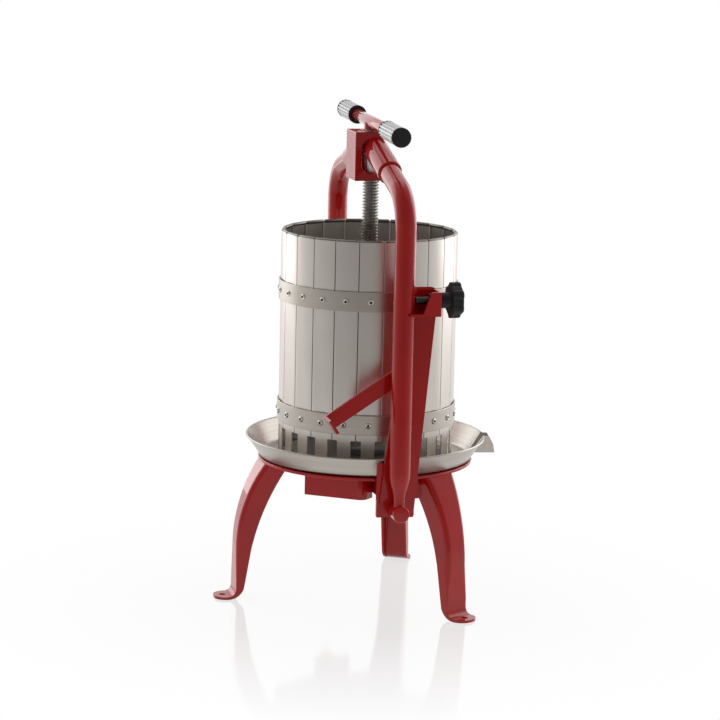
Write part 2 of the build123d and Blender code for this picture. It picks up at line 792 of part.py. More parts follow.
def grip_cap(side):
    """The cap that closes the outer end of a grip."""
    with BuildPart() as cap:
        with BuildSketch(along_bar(side, grip_end)):
            Circle(cap_radius)
        extrude(amount=cap_thickness)
        fillet(cap.faces().sort_by_distance((0, 0, handle_height))[-1].edges(), cap_edge)
    return cap


near_grip, far_grip = hand_grip(1), hand_grip(-1)
near_grip_ring, far_grip_ring = grip_ring(1), grip_ring(-1)
near_grip_cap, far_grip_cap = grip_cap(1), grip_cap(-1)

# Swivel foot on the screw's pintle
with BuildPart() as screw_foot:
    with BuildSketch(Plane.XZ):
        with BuildLine():
            Polyline((0, foot_bottom), (foot_radius, foot_bottom), (foot_radius, foot_rim_top),
                     (foot_boss_radius, foot_boss_bottom), (foot_boss_radius, foot_top),
                     (foot_bore_radius, foot_top), (foot_bore_radius, pintle_end - pintle_gap),
                     (0, pintle_end - pintle_gap), close=True)
        make_face()
    revolve(axis=Axis.Z)

pieces = {
    "base_disc": base_disc, "leg_screws": leg_screws, "leg_nuts": leg_nuts, **legs,
    "cross_beam": cross_beam, "near_beam_plate": near_beam_plate, "far_beam_plate": far_beam_plate,
    "near_left_apron": near_left_apron, "near_right_apron": near_right_apron,
    "far_left_apron": far_left_apron, "far_right_apron": far_right_apron,
    "near_upright": near_upright, "far_upright": far_upright, "stop_arm": stop_arm,
    "clamp_bracket": clamp_bracket, "clamp_nut": clamp_nut, "clamp_stud": clamp_stud,
    "clamp_washer": clamp_washer, "clamp_knob": clamp_knob, "drip_tray": drip_tray,
    "basket_slats": basket_slats, "upper_band": upper_band, "lower_band": lower_band,
    "upper_rivets": upper_rivets, "lower_rivets": lower_rivets,
    "pressing_plate": pressing_plate, "plate_seat": plate_seat,
    "near_arch_tube": near_arch_tube, "far_arch_tube": far_arch_tube,
    "near_sleeve": near_sleeve, "far_sleeve": far_sleeve,
    "near_arch_eye": near_arch_eye, "far_arch_eye": far_arch_eye,
    "near_pivot_pin": near_pivot_pin, "far_pivot_pin": far_pivot_pin,
    "near_pivot_spacer": near_pivot_spacer, "far_pivot_spacer": far_pivot_spacer,
    "near_pivot_washer": near_pivot_washer, "far_pivot_washer": far_pivot_washer,
    "near_pivot_nut": near_pivot_nut, "far_pivot_nut": far_pivot_nut,
    "nut_carrier": nut_carrier, "press_nut": press_nut, "press_screw": press_screw,
    "screw_head": screw_head, "t_bar": t_bar, "near_grip": near_grip, "far_grip": far_grip,
    "near_grip_ring": near_grip_ring, "far_grip_ring": far_grip_ring,
    "near_grip_cap": near_grip_cap, "far_grip_cap": far_grip_cap, "screw_foot": screw_foot,
}

os.makedirs("parts", exist_ok=True)
for name, piece in pieces.items():
    piece.part.label = name
    export_step(piece.part, f"parts/{name}.step")
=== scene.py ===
import logging
import math
from collections.abc import Callable, Iterable
from dataclasses import dataclass, field
from enum import Enum

import bmesh
import bpy
from bmesh.types import BMEdge, BMFace, BMVert
from mathutils import Matrix, Quaternion, Vector
from mathutils.geometry import intersect_line_sphere


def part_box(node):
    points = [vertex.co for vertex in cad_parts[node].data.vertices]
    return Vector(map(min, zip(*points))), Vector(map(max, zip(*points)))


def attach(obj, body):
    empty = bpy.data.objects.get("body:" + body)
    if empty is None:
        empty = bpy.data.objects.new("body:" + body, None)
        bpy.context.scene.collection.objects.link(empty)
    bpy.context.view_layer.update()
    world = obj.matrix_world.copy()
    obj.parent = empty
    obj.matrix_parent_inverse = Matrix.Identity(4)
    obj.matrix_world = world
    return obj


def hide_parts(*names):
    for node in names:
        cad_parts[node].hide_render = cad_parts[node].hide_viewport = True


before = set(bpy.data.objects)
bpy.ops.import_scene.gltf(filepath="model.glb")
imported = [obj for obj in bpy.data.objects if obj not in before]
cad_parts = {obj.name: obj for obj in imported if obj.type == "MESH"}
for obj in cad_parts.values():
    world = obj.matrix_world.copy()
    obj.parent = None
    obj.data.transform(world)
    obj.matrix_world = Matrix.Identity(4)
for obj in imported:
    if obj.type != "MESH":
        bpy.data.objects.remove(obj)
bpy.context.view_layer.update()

MM = 0.001
SAME_POINT = 0.01
NOISE_REACH = (0.3, 0.7)
WHITE = (1, 1, 1, 1)
ORIGIN = Vector()
ALONG_X = Vector((1, 0, 0))
ALONG_Y = Vector((0, 1, 0))
UP = Vector((0, 0, 1))
LOG = logging.getLogger("fruit_press")
Colour = tuple[float, float, float]
Range = tuple[float, float]
Socket = bpy.types.NodeSocket
Input = Socket | float | Vector | tuple[float, ...]


class Body(str, Enum):
    """Moving bodies of the press."""

    BASE = "base"
    TRAY = "tray"
    BASKET = "basket"
    ARCH = "arch"
    SCREW = "screw"


class Slot(str, Enum):
    """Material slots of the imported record."""

    RED = "red_paint"
    STAINLESS = "stainless"
    SCREW = "screw_steel"


class Side(Enum):
    """The two ends of the tilt axis, as a sign along Y."""

    NEAR = -1
    FAR = 1

    def node(self, name: str) -> str:
        """The name of this side's node."""
        return f"{self.name.lower()}_{name}"


@dataclass(frozen=True)
class Gauge:
    """Where a CAD node stands at rest, in millimetres.

    Attributes:
        low: Lowest corner.
        high: Highest corner.
    """

    low: Vector
    high: Vector

    @classmethod
    def of(cls, node: str) -> "Gauge":
        """Measures a node of the frame by its name."""
        low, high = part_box(node)
        return cls(low / MM, high / MM)

    @property
    def middle(self) -> Vector:
        """Middle of the box."""
        return (self.low + self.high) / 2

    @property
    def size(self) -> Vector:
        """Length of the box along each axis."""
        return self.high - self.low


def only(kind: type, items: Iterable[object]) -> list:
    """The items of one kind."""
    return [item for item in items if isinstance(item, kind)]


def unique(items: Iterable[object]) -> list:
    """The items in their order, each once."""
    return list(dict.fromkeys(items))


def soft_edges(piece: bpy.types.Object, width: float) -> None:
    """Rounds the sharp edges of a piece and keeps its flats flat.

    Args:
        piece: The object.
        width: Width of the rounding in millimetres.
    """
    bevel = piece.modifiers.new("soft_edges", "BEVEL")
    bevel.width = width * MM
    bevel.segments = 2
    bevel.limit_method = "ANGLE"
    bevel.angle_limit = math.radians(40)
    bevel.harden_normals = True


def circle_middle(first: Vector, second: Vector, third: Vector) -> Vector:
    """Middle of the circle through three points of the XZ plane.

    Args:
        first: A point.
        second: Another point.
        third: A third point.

    Returns:
        The middle, in the same plane.
    """
    side, span = second - first, third - first
    cross = 2 * (side.x * span.z - side.z * span.x)
    x = (span.z * side.length_squared - side.z * span.length_squared) / cross
    z = (side.x * span.length_squared - span.x * side.length_squared) / cross
    return first + Vector((x, 0, z))


class Blank:
    """A piece in the making: one bmesh in millimetres, shaped by operators."""

    def __init__(self) -> None:
        """Starts an empty blank."""
        self.bm = bmesh.new()

    def ring(self, centre: Vector, axis: Vector, radius: float, sides: int) -> list[BMEdge]:
        """Lays an open circle.

        Args:
            centre: Middle of the circle.
            axis: Direction square to it.
            radius: Its radius.
            sides: Number of its sides.

        Returns:
            Its edges.
        """
        place = Matrix.Translation(centre) @ UP.rotation_difference(axis).to_matrix().to_4x4()
        verts = bmesh.ops.create_circle(self.bm, segments=sides, radius=radius, matrix=place)["verts"]
        return unique(edge for vert in verts for edge in vert.link_edges)

    def draw(self, edges: list[BMEdge], run: Vector) -> list[BMEdge]:
        """Draws a line or loop of edges along a straight run.

        Args:
            edges: The line or loop at the open end.
            run: How far it goes.

        Returns:
            The line or loop at the new end.
        """
        grown = bmesh.ops.extrude_edge_only(self.bm, edges=edges)["geom"]
        bmesh.ops.translate(self.bm, verts=only(BMVert, grown), vec=run)
        return only(BMEdge, grown)

    def bend(self, edges: list[BMEdge], centre: Vector, axis: Vector, degrees: float,
             steps: int) -> list[BMEdge]:
        """Bends an open loop of edges round an axis.

        Args:
            edges: The loop at the open end.
            centre: A point on the axis.
            axis: Direction of the axis.
            degrees: Angle of the bend.
            steps: Segments along it.

        Returns:
            The loop at the new end.
        """
        verts = unique(vert for edge in edges for vert in edge.verts)
        last = bmesh.ops.spin(self.bm, geom=[*verts, *edges], cent=centre, axis=axis, steps=steps,
                              angle=math.radians(degrees), use_merge=False)["geom_last"]
        return only(BMEdge, last)

    def swing(self, verts: Iterable[BMVert], degrees: float) -> None:
        """Turns points about the screw axis.

        Args:
            verts: The points.
            degrees: Angle of the turn.
        """
        bmesh.ops.rotate(self.bm, verts=list(verts), cent=ORIGIN,
                         matrix=Matrix.Rotation(math.radians(degrees), 3, "Z"))

    def sheet(self, faces: list[BMFace], sample: BMFace, outside: Vector, wall: float) -> None:
        """Gives a sheet its wall, behind its outer side.

        Args:
            faces: Faces of the sheet.
            sample: The face that shows which side is out.
            outside: Direction that this face looks in.
            wall: Thickness.
        """
        bmesh.ops.recalc_face_normals(self.bm, faces=faces)
        if sample.normal.dot(outside) < 0:
            bmesh.ops.reverse_faces(self.bm, faces=faces)
        bmesh.ops.solidify(self.bm, geom=faces, thickness=wall)

    def trim(self, point: Vector, normal: Vector) -> list[BMEdge]:
        """Cuts away what lies past a plane.

        Args:
            point: A point on the plane.
            normal: Direction of the waste.

        Returns:
            The edges of the cut.
        """
        cut = bmesh.ops.bisect_plane(self.bm, geom=[*self.bm.verts, *self.bm.edges, *self.bm.faces],
                                     plane_co=point, plane_no=normal, clear_outer=True)["geom_cut"]
        return only(BMEdge, cut)

    def close(self) -> None:
        """Fills the open loops and turns the faces outwards."""
        open_edges = [edge for edge in self.bm.edges if edge.is_boundary]
        bmesh.ops.holes_fill(self.bm, edges=open_edges, sides=0)
        bmesh.ops.recalc_face_normals(self.bm, faces=self.bm.faces)

    def finish(self, name: str, crease: float = 35.0, soft: float = 0.0) -> bpy.types.Object:
        """Makes the blank an object in metres, smooth up to a crease angle.

        Args:
            name: Name of the piece.
            crease: Angle in degrees past which an edge stays sharp.
            soft: Width of the rounding that sharp edges get, in millimetres.

        Returns:
            The new object, at the origin.
        """
        bmesh.ops.scale(self.bm, verts=self.bm.verts, vec=(MM, MM, MM))
        mesh = bpy.data.meshes.new(name)
        self.bm.to_mesh(mesh)
        self.bm.free()
        mesh.shade_smooth()
        piece = bpy.data.objects.new(name, mesh)
        bpy.context.scene.collection.objects.link(piece)
        if soft:
            soft_edges(piece, soft)
        else:
            mesh.set_sharp_from_angle(angle=math.radians(crease))
        return piece


class Wire:
    """A line of edges drawn by a moving tip."""

    def __init__(self, blank: Blank, start: Vector, *points: Vector) -> None:
        """Draws straight lines through points.

        Args:
            blank: Mesh that takes the line.
            start: Where the line begins.
            points: The points that it goes on to.
        """
        self.bm = blank.bm
        self.old_edges = set(self.bm.edges)
        self.old_verts = set(self.bm.verts)
        self.start = self.tip = self.bm.verts.new(start)
        self.to(*points)

    @classmethod
    def half(cls, blank: Blank, points: Iterable[Range], lift: float = 0.0) -> "Wire":
        """Draws half a section in the XZ plane.

        Args:
            blank: Mesh that takes the line.
            points: Reach and height of its points.
            lift: What is added to the heights.

        Returns:
            The new wire.
        """
        return cls(blank, *(Vector((reach, 0, lift + height)) for reach, height in points))

    @property
    def edges(self) -> list[BMEdge]:
        """Edges of the line."""
        return [edge for edge in self.bm.edges if edge not in self.old_edges]

    @property
    def verts(self) -> list[BMVert]:
        """Points of the line."""
        return [vert for vert in self.bm.verts if vert not in self.old_verts]

    def to(self, *points: Vector) -> "Wire":
        """Draws straight lines on to points.

        Args:
            points: The points, in order.

        Returns:
            The same wire.
        """
        for point in points:
            self.tip = bmesh.ops.extrude_vert_indiv(self.bm, verts=[self.tip])["verts"][0]
            self.tip.co = point
        return self

    def arc(self, centre: Vector, axis: Vector, degrees: float, steps: int) -> "Wire":
        """Draws an arc.

        Args:
            centre: Middle of the arc.
            axis: Direction square to it.
            degrees: Angle of the arc.
            steps: Segments along it.

        Returns:
            The same wire.
        """
        last = bmesh.ops.spin(self.bm, geom=[self.tip], cent=centre, axis=axis, steps=steps,
                              angle=math.radians(degrees), use_merge=False)["geom_last"]
        self.tip = only(BMVert, last)[0]
        return self

    def close(self) -> "Wire":
        """Joins the tip to the start."""
        self.bm.edges.new((self.tip, self.start))
        return self

    def turn(self, centre: Vector, axis: Vector, steps: int) -> None:
        """Turns the line once round an axis.

        Args:
            centre: A point on the axis.
            axis: Direction of the axis.
            steps: Segments round the turn.
        """
        bmesh.ops.spin(self.bm, geom=[*self.verts, *self.edges], cent=centre, axis=axis, steps=steps,
                       angle=math.tau, use_merge=True)
        bmesh.ops.remove_doubles(self.bm, verts=self.verts, dist=SAME_POINT)
        faces = unique(face for vert in self.verts for face in vert.link_faces)
        bmesh.ops.recalc_face_normals(self.bm, faces=faces)


class NodeBench:
    """Node tree of a finish, the floor or the world, filled step by step."""

    def __init__(self, owner: bpy.types.Material | bpy.types.World, shader: str) -> None:
        """Takes over a tree.

        Args:
            owner: Material or world that has the tree.
            shader: Name of the shader that it starts with.
        """
        owner.use_nodes = True
        self.owner = owner
        self.tree = owner.node_tree
        self.shader = self.tree.nodes[shader]
        self.place = self.add("TexCoord", {}, "Object")

    def feed(self, node: bpy.types.Node, inputs: dict[str | int, Input]) -> None:
        """Gives inputs of a node their values.

        Args:
            node: The node.
            inputs: A socket or a fixed value for each input.
        """
        for key, value in inputs.items():
            if isinstance(value, Socket):
                self.tree.links.new(value, node.inputs[key])
            else:
                node.inputs[key].default_value = value

    def add(self, kind: str, inputs: dict[str | int, Input], output: str | int = 0,
            **settings: str) -> Socket:
        """Adds a node.

        Args:
            kind: Its type.
            inputs: A socket or a fixed value for each input.
            output: The output that is wanted.
            settings: Its own settings.

        Returns:
            That output.
        """
        node = self.tree.nodes.new(f"ShaderNode{kind}")
        for name, setting in settings.items():
            setattr(node, name, setting)
        self.feed(node, inputs)
        return node.outputs[output]

    def dress(self, inputs: dict[str | int, Input]) -> bpy.types.Material | bpy.types.World:
        """Gives inputs of the main shader their values and returns the owner of the tree."""
        self.feed(self.shader, inputs)
        return self.owner

    def math(self, operation: str, first: Input, second: Input) -> Socket:
        """One sum on two values."""
        return self.add("Math", {0: first, 1: second}, operation=operation)

    def dot(self, vector: Socket, direction: Vector) -> Socket:
        """How far a place lies along a direction."""
        return self.add("VectorMath", {0: vector, 1: direction}, "Value", operation="DOT_PRODUCT")

    def length(self, vector: Socket) -> Socket:
        """Length of a vector."""
        return self.add("VectorMath", {0: vector}, "Value", operation="LENGTH")

    def ramp(self, value: Socket, source: Range, target: Range = (0.0, 1.0)) -> Socket:
        """Maps a range of values to another, held at both ends."""
        return self.add("MapRange", {"Value": value, "From Min": source[0], "From Max": source[1],
                                     "To Min": target[0], "To Max": target[1]})

    def mix(self, share: Input, low: Input, high: Input) -> Socket:
        """Mixes two values."""
        return self.add("Mix", {"Factor": share, "A": low, "B": high})

    def blend(self, share: Input, low: Input, high: Input) -> Socket:
        """Mixes two colours."""
        return self.add("Mix", {"Factor": share, 6: low, 7: high}, 2, data_type="RGBA")

    def shade(self, share: Input, low: Socket, high: Socket) -> Socket:
        """Mixes two shaders."""
        return self.add("MixShader", {"Fac": share, 1: low, 2: high})

    def noise(self, vector: Socket, scale: float = 1.0, detail: float = 4.0) -> Socket:
        """A cloud of values about one half, of some fineness and number of octaves."""
        return self.add("TexNoise", {"Vector": vector, "Scale": scale, "Detail": detail}, "Fac")

    def bump(self, height: Socket, distance: float, strength: float) -> Socket:
        """The normal of a surface raised by a noise, by a distance in metres."""
        return self.add("Bump", {"Height": height, "Distance": distance, "Strength": strength}, "Normal")

    def stretched(self, scale: Colour) -> Socket:
        """Object coordinates, stretched along each axis."""
        return self.add("Mapping", {"Vector": self.place, "Scale": scale})

    def round_axis(self, along: float, across: float) -> Socket:
        """Coordinates round the screw axis: radius and height fine, angle coarse.

        Args:
            along: Factor on the angle.
            across: Factor on radius and height.

        Returns:
            The wrapped coordinates.
        """
        split = [self.add("SeparateXYZ", {"Vector": self.place}, name) for name in "XYZ"]
        flat = self.add("VectorMath", {0: self.place, 1: (1, 1, 0)}, operation="MULTIPLY")
        return self.add("CombineXYZ", {
            "X": self.math("MULTIPLY", self.math("ARCTAN2", split[1], split[0]), along),
            "Y": self.math("MULTIPLY", self.length(flat), across),
            "Z": self.math("MULTIPLY", split[2], across)})


@dataclass(frozen=True)
class Finish:
    """A finish laid on Object coordinates, between two shades and two degrees of roughness.

    Attributes:
        name: Name of the material.
        dull: The duller shade.
        clean: The cleaner shade.
        sheen: Roughness of its smoothest and of its roughest places.
    """

    name: str
    dull: Colour
    clean: Colour
    sheen: Range

    def tint(self, bench: NodeBench, noise: Socket) -> Socket:
        """The two shades, blended by a noise."""
        return bench.blend(bench.ramp(noise, NOISE_REACH), (*self.dull, 1), (*self.clean, 1))

    def grind(self, bench: NodeBench, noise: Socket) -> Socket:
        """The roughness, spread by a noise."""
        return bench.ramp(noise, NOISE_REACH, self.sheen)

    def bench(self) -> NodeBench:
        """The node tree of a new material."""
        return NodeBench(bpy.data.materials.new(self.name), "Principled BSDF")


@dataclass(frozen=True)
class RedPaint(Finish):
    """Gloss powder coat under a clear skin, with a faint flow and dust.

    Attributes:
        flow: Fineness of the flow in its colour.
        dust: Fineness of the dust in it.
        peel: Fineness of its uneven surface.
        depth: Depth of that surface in metres.
    """

    flow: float = 14.0
    dust: float = 60.0
    peel: float = 300.0
    depth: float = 0.00004

    def material(self) -> bpy.types.Material:
        """Matt colour under a clear coat.

        Returns:
            The node material.
        """
        bench = self.bench()
        peel = bench.noise(bench.place, self.peel, detail=1.0)
        return bench.dress({
            "Coat Weight": 1.0, "Coat Roughness": 0.04, "Coat IOR": 1.38, "Specular IOR Level": 0.05,
            "Base Color": self.tint(bench, bench.noise(bench.place, self.flow, detail=2.0)),
            "Roughness": self.grind(bench, bench.noise(bench.place, self.dust)),
            "Normal": bench.bump(peel, self.depth, strength=0.12)})


@dataclass(frozen=True)
class SlatSteel(Finish):
    """Stainless sheet with a fine satin grain up and down, and handling smudges.

    Attributes:
        grain: Fineness of the grain along each axis.
        smudge: Fineness of the smudges along each axis.
        smudge_sheen: What clean and smudged places add to the roughness.
        depth: Depth of the grain in metres.
    """

    grain: Colour = (1400, 1400, 30)
    smudge: Colour = (26, 26, 14)
    smudge_sheen: Range = (0.03, -0.02)
    depth: float = 0.00001

    def material(self) -> bpy.types.Material:
        """Metal with grain and smudges.

        Returns:
            The node material.
        """
        bench = self.bench()
        grain = bench.noise(bench.stretched(self.grain), detail=2.0)
        smudge = bench.noise(bench.stretched(self.smudge), detail=3.0)
        smeared = bench.ramp(smudge, NOISE_REACH, self.smudge_sheen)
        return bench.dress({
            "Metallic": 1.0, "Base Color": self.tint(bench, smudge),
            "Roughness": bench.math("ADD", self.grind(bench, grain), smeared),
            "Normal": bench.bump(grain, self.depth, strength=0.12)})


@dataclass(frozen=True)
class SpunSteel(Finish):
    """Stainless sheet, brushed round the screw axis.

    Attributes:
        grain: Fineness of the grain along it and across it.
        lathe: Fineness of the tool's marks along them and across them.
        depth: Depth of the grain in metres.
    """

    grain: Range = (2.0, 1400.0)
    lathe: Range = (1.2, 260.0)
    depth: float = 0.00001

    def material(self) -> bpy.types.Material:
        """Metal with grain and marks of the lathe.

        Returns:
            The node material.
        """
        bench = self.bench()
        grain = bench.noise(bench.round_axis(*self.grain), detail=3.0)
        lathe = bench.noise(bench.round_axis(*self.lathe), detail=2.0)
        return bench.dress({
            "Metallic": 1.0, "Base Color": self.tint(bench, lathe), "Roughness": self.grind(bench, grain),
            "Normal": bench.bump(grain, self.depth, strength=0.12)})


@dataclass(frozen=True)
class PlainMetal(Finish):
    """Plated or bare steel of small parts, faintly mottled; darker copies also paint shade on the hems and
    in the rivet hollows.

    Attributes:
        mottle: Fineness of the mottling.
        wear: Fineness of the changes in roughness.
        depth: Depth of the mottling in metres.
    """

    mottle: float = 180.0
    wear: float = 320.0
    depth: float = 0.00003

    def material(self) -> bpy.types.Material:
        """Mottled metal.

        Returns:
            The node material.
        """
        bench = self.bench()
        mottle = bench.noise(bench.place, self.mottle)
        return bench.dress({
            "Metallic": 1.0, "Base Color": self.tint(bench, mottle),
            "Roughness": self.grind(bench, bench.noise(bench.place, self.wear)),
            "Normal": bench.bump(mottle, self.depth, strength=0.2)})


@dataclass(frozen=True)
class FlutedAlloy(Finish):
    """Silver grip alloy with painted shade along its flutes and cross cuts, wrapped round the handle's bar.

    Attributes:
        groove_shade: Colour of the painted shade in the flutes and cuts.
        groove_shade_reach: Distance from a flute's middle between which the painted shade ends.
        heading: Direction of the bar in degrees.
        height: Height of its middle line in metres.
        flutes: Number of flutes.
        cuts: Cross cuts to a metre.
        cut_slope: How much narrower a cut is than a flute.
        mottle: Fineness of the worn patches.
        wear: Fineness of the changes in roughness.
    """

    groove_shade: Colour = (0.19, 0.19, 0.19)
    groove_shade_reach: Range = (0.02, 0.3)
    heading: float = -94.5
    height: float = 0.6335
    flutes: int = 18
    cuts: float = 55.0
    cut_slope: float = 2.5
    mottle: float = 120.0
    wear: float = 320.0

    def material(self) -> bpy.types.Material:
        """Metal with painted shade in its flutes and cross cuts.

        Returns:
            The node material.
        """
        bench = self.bench()
        turn = math.radians(self.heading)
        across = bench.dot(bench.place, Vector((-math.sin(turn), math.cos(turn), 0)))
        along = bench.dot(bench.place, Vector((math.cos(turn), math.sin(turn), 0)))
        above = bench.math("SUBTRACT", bench.dot(bench.place, UP), self.height)
        angle = bench.math("MULTIPLY", bench.math("ARCTAN2", above, across), self.flutes / math.tau)
        ridge = bench.math("PINGPONG", angle, 0.5)
        cut = bench.math("PINGPONG", bench.math("MULTIPLY", along, self.cuts), 0.5)
        # Darker along the flutes and the cross cuts: painted shade in the grooves.
        clear = bench.math("MINIMUM", ridge, bench.math("MULTIPLY", cut, self.cut_slope))
        worn = self.tint(bench, bench.noise(bench.place, self.mottle))
        return bench.dress({
            "Metallic": 1.0,
            "Base Color": bench.blend(bench.ramp(clear, self.groove_shade_reach), (*self.groove_shade, 1), worn),
            "Roughness": self.grind(bench, bench.noise(bench.place, self.wear))})


@dataclass(frozen=True)
class MouldedPlastic(Finish):
    """Moulded plastic with a fine spark grain.

    Attributes:
        flow: Fineness of the flow in its colour.
        spark: Fineness of the grain.
        depth: Depth of the grain in metres.
    """

    flow: float = 60.0
    spark: float = 1600.0
    depth: float = 0.00008

    def material(self) -> bpy.types.Material:
        """Plastic with its grain.

        Returns:
            The node material.
        """
        bench = self.bench()
        grain = bench.noise(bench.place, self.spark, detail=2.0)
        return bench.dress({
            "Specular IOR Level": 0.3,
            "Base Color": self.tint(bench, bench.noise(bench.place, self.flow)),
            "Roughness": self.grind(bench, grain), "Normal": bench.bump(grain, self.depth, strength=0.4)})


class Workshop:
    """Holds the finishes and hands finished pieces over to the frame."""

    def __init__(self) -> None:
        """Makes each finish once."""
        self.red = RedPaint("gloss_red_paint", (0.42, 0.005, 0.004), (0.47, 0.007, 0.006),
                            (0.34, 0.46)).material()
        self.slat = SlatSteel("satin_slat_steel", (0.60, 0.555, 0.51), (0.65, 0.605, 0.56),
                              (0.29, 0.33)).material()
        self.hoop = SpunSteel("brushed_hoop_steel", (0.47, 0.43, 0.385), (0.50, 0.46, 0.41),
                              (0.29, 0.34)).material()
        self.dish = SpunSteel("spun_dish_steel", (0.39, 0.36, 0.325), (0.43, 0.40, 0.36),
                              (0.26, 0.32)).material()
        self.plate = SpunSteel("dull_plate_steel", (0.22, 0.20, 0.18), (0.30, 0.28, 0.25),
                               (0.4, 0.55)).material()
        # A darker copy of the steel for the rolled hems: painted shade and painted dark reflection on the
        # roll.
        self.hem = PlainMetal("hem_steel_with_painted_shade", (0.19, 0.18, 0.165), (0.25, 0.24, 0.22),
                              (0.3, 0.42)).material()
        self.rivet = PlainMetal("rivet_steel", (0.60, 0.56, 0.51), (0.70, 0.66, 0.60),
                                (0.2, 0.32)).material()
        self.zinc = PlainMetal("bright_zinc", (0.56, 0.56, 0.55), (0.68, 0.68, 0.66),
                               (0.2, 0.34)).material()
        self.thread = PlainMetal("oiled_thread_steel", (0.20, 0.185, 0.165), (0.32, 0.30, 0.27),
                                 (0.22, 0.36)).material()
        # Blackened steel of the clamp nut and stud; the same dark finish fills the rivet hollows as painted
        # shade.
        self.dark = PlainMetal("blackened_steel_and_painted_shade", (0.055, 0.05, 0.045), (0.085, 0.08, 0.07),
                               (0.4, 0.55)).material()
        self.nut = PlainMetal("bright_nut_steel", (0.78, 0.77, 0.76), (0.86, 0.85, 0.84),
                              (0.3, 0.42)).material()
        self.grip = FlutedAlloy("fluted_grip_alloy", (0.46, 0.46, 0.47), (0.54, 0.54, 0.55),
                                (0.34, 0.46)).material()
        self.black = MouldedPlastic("black_moulded_plastic", (0.014, 0.014, 0.014),
                                    (0.024, 0.024, 0.024), (0.48, 0.62)).material()

    def fit(self, piece: bpy.types.Object, finish: bpy.types.Material, body: Body, slot: Slot,
            *nodes: str) -> None:
        """Gives a new piece its finish and its body.

        Args:
            piece: The new object.
            finish: Its material.
            body: The body that it moves with.
            slot: The record's slot of the piece; not used.
            nodes: CAD nodes that it stands for.
        """
        piece.data.materials.append(finish)
        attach(piece, body.value)
        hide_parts(*nodes)
        LOG.info("%s rides on %s with %s", piece.name, body.value, finish.name)

    def keep(self, node: str, finish: bpy.types.Material, soft: float = 0.0) -> None:
        """Gives a CAD node a finish and, where it is sheet or bar, softened edges.

        Args:
            node: Name of the node.
            finish: Its material.
            soft: Width of the softened edges in millimetres.
        """
        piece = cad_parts[node]
        for holder in piece.material_slots:
            holder.material = finish
        if soft:
            weld = piece.modifiers.new("joined_faces", "WELD")
            weld.merge_threshold = 0.002 * MM
            soft_edges(piece, soft)
        LOG.info("%s kept with %s", node, finish.name)


@dataclass(frozen=True)
class Softbox:
    """A soft light.

    Attributes:
        name: Its name.
        place: Where it hangs, in metres.
        power: Power in watts.
        size: Its width and height in metres.
    """

    name: str
    place: Vector
    power: float
    size: Range = (1.7, 1.85)


SOFTBOXES = (Softbox("left_softbox", Vector((-1.15, 1.5, 0.95)), 13),
             Softbox("right_softbox", Vector((1.75, 0.7, 0.95)), 15),
             Softbox("top_softbox", Vector((0.1, 0.9, 2.4)), 4, (1.6, 1.2)))


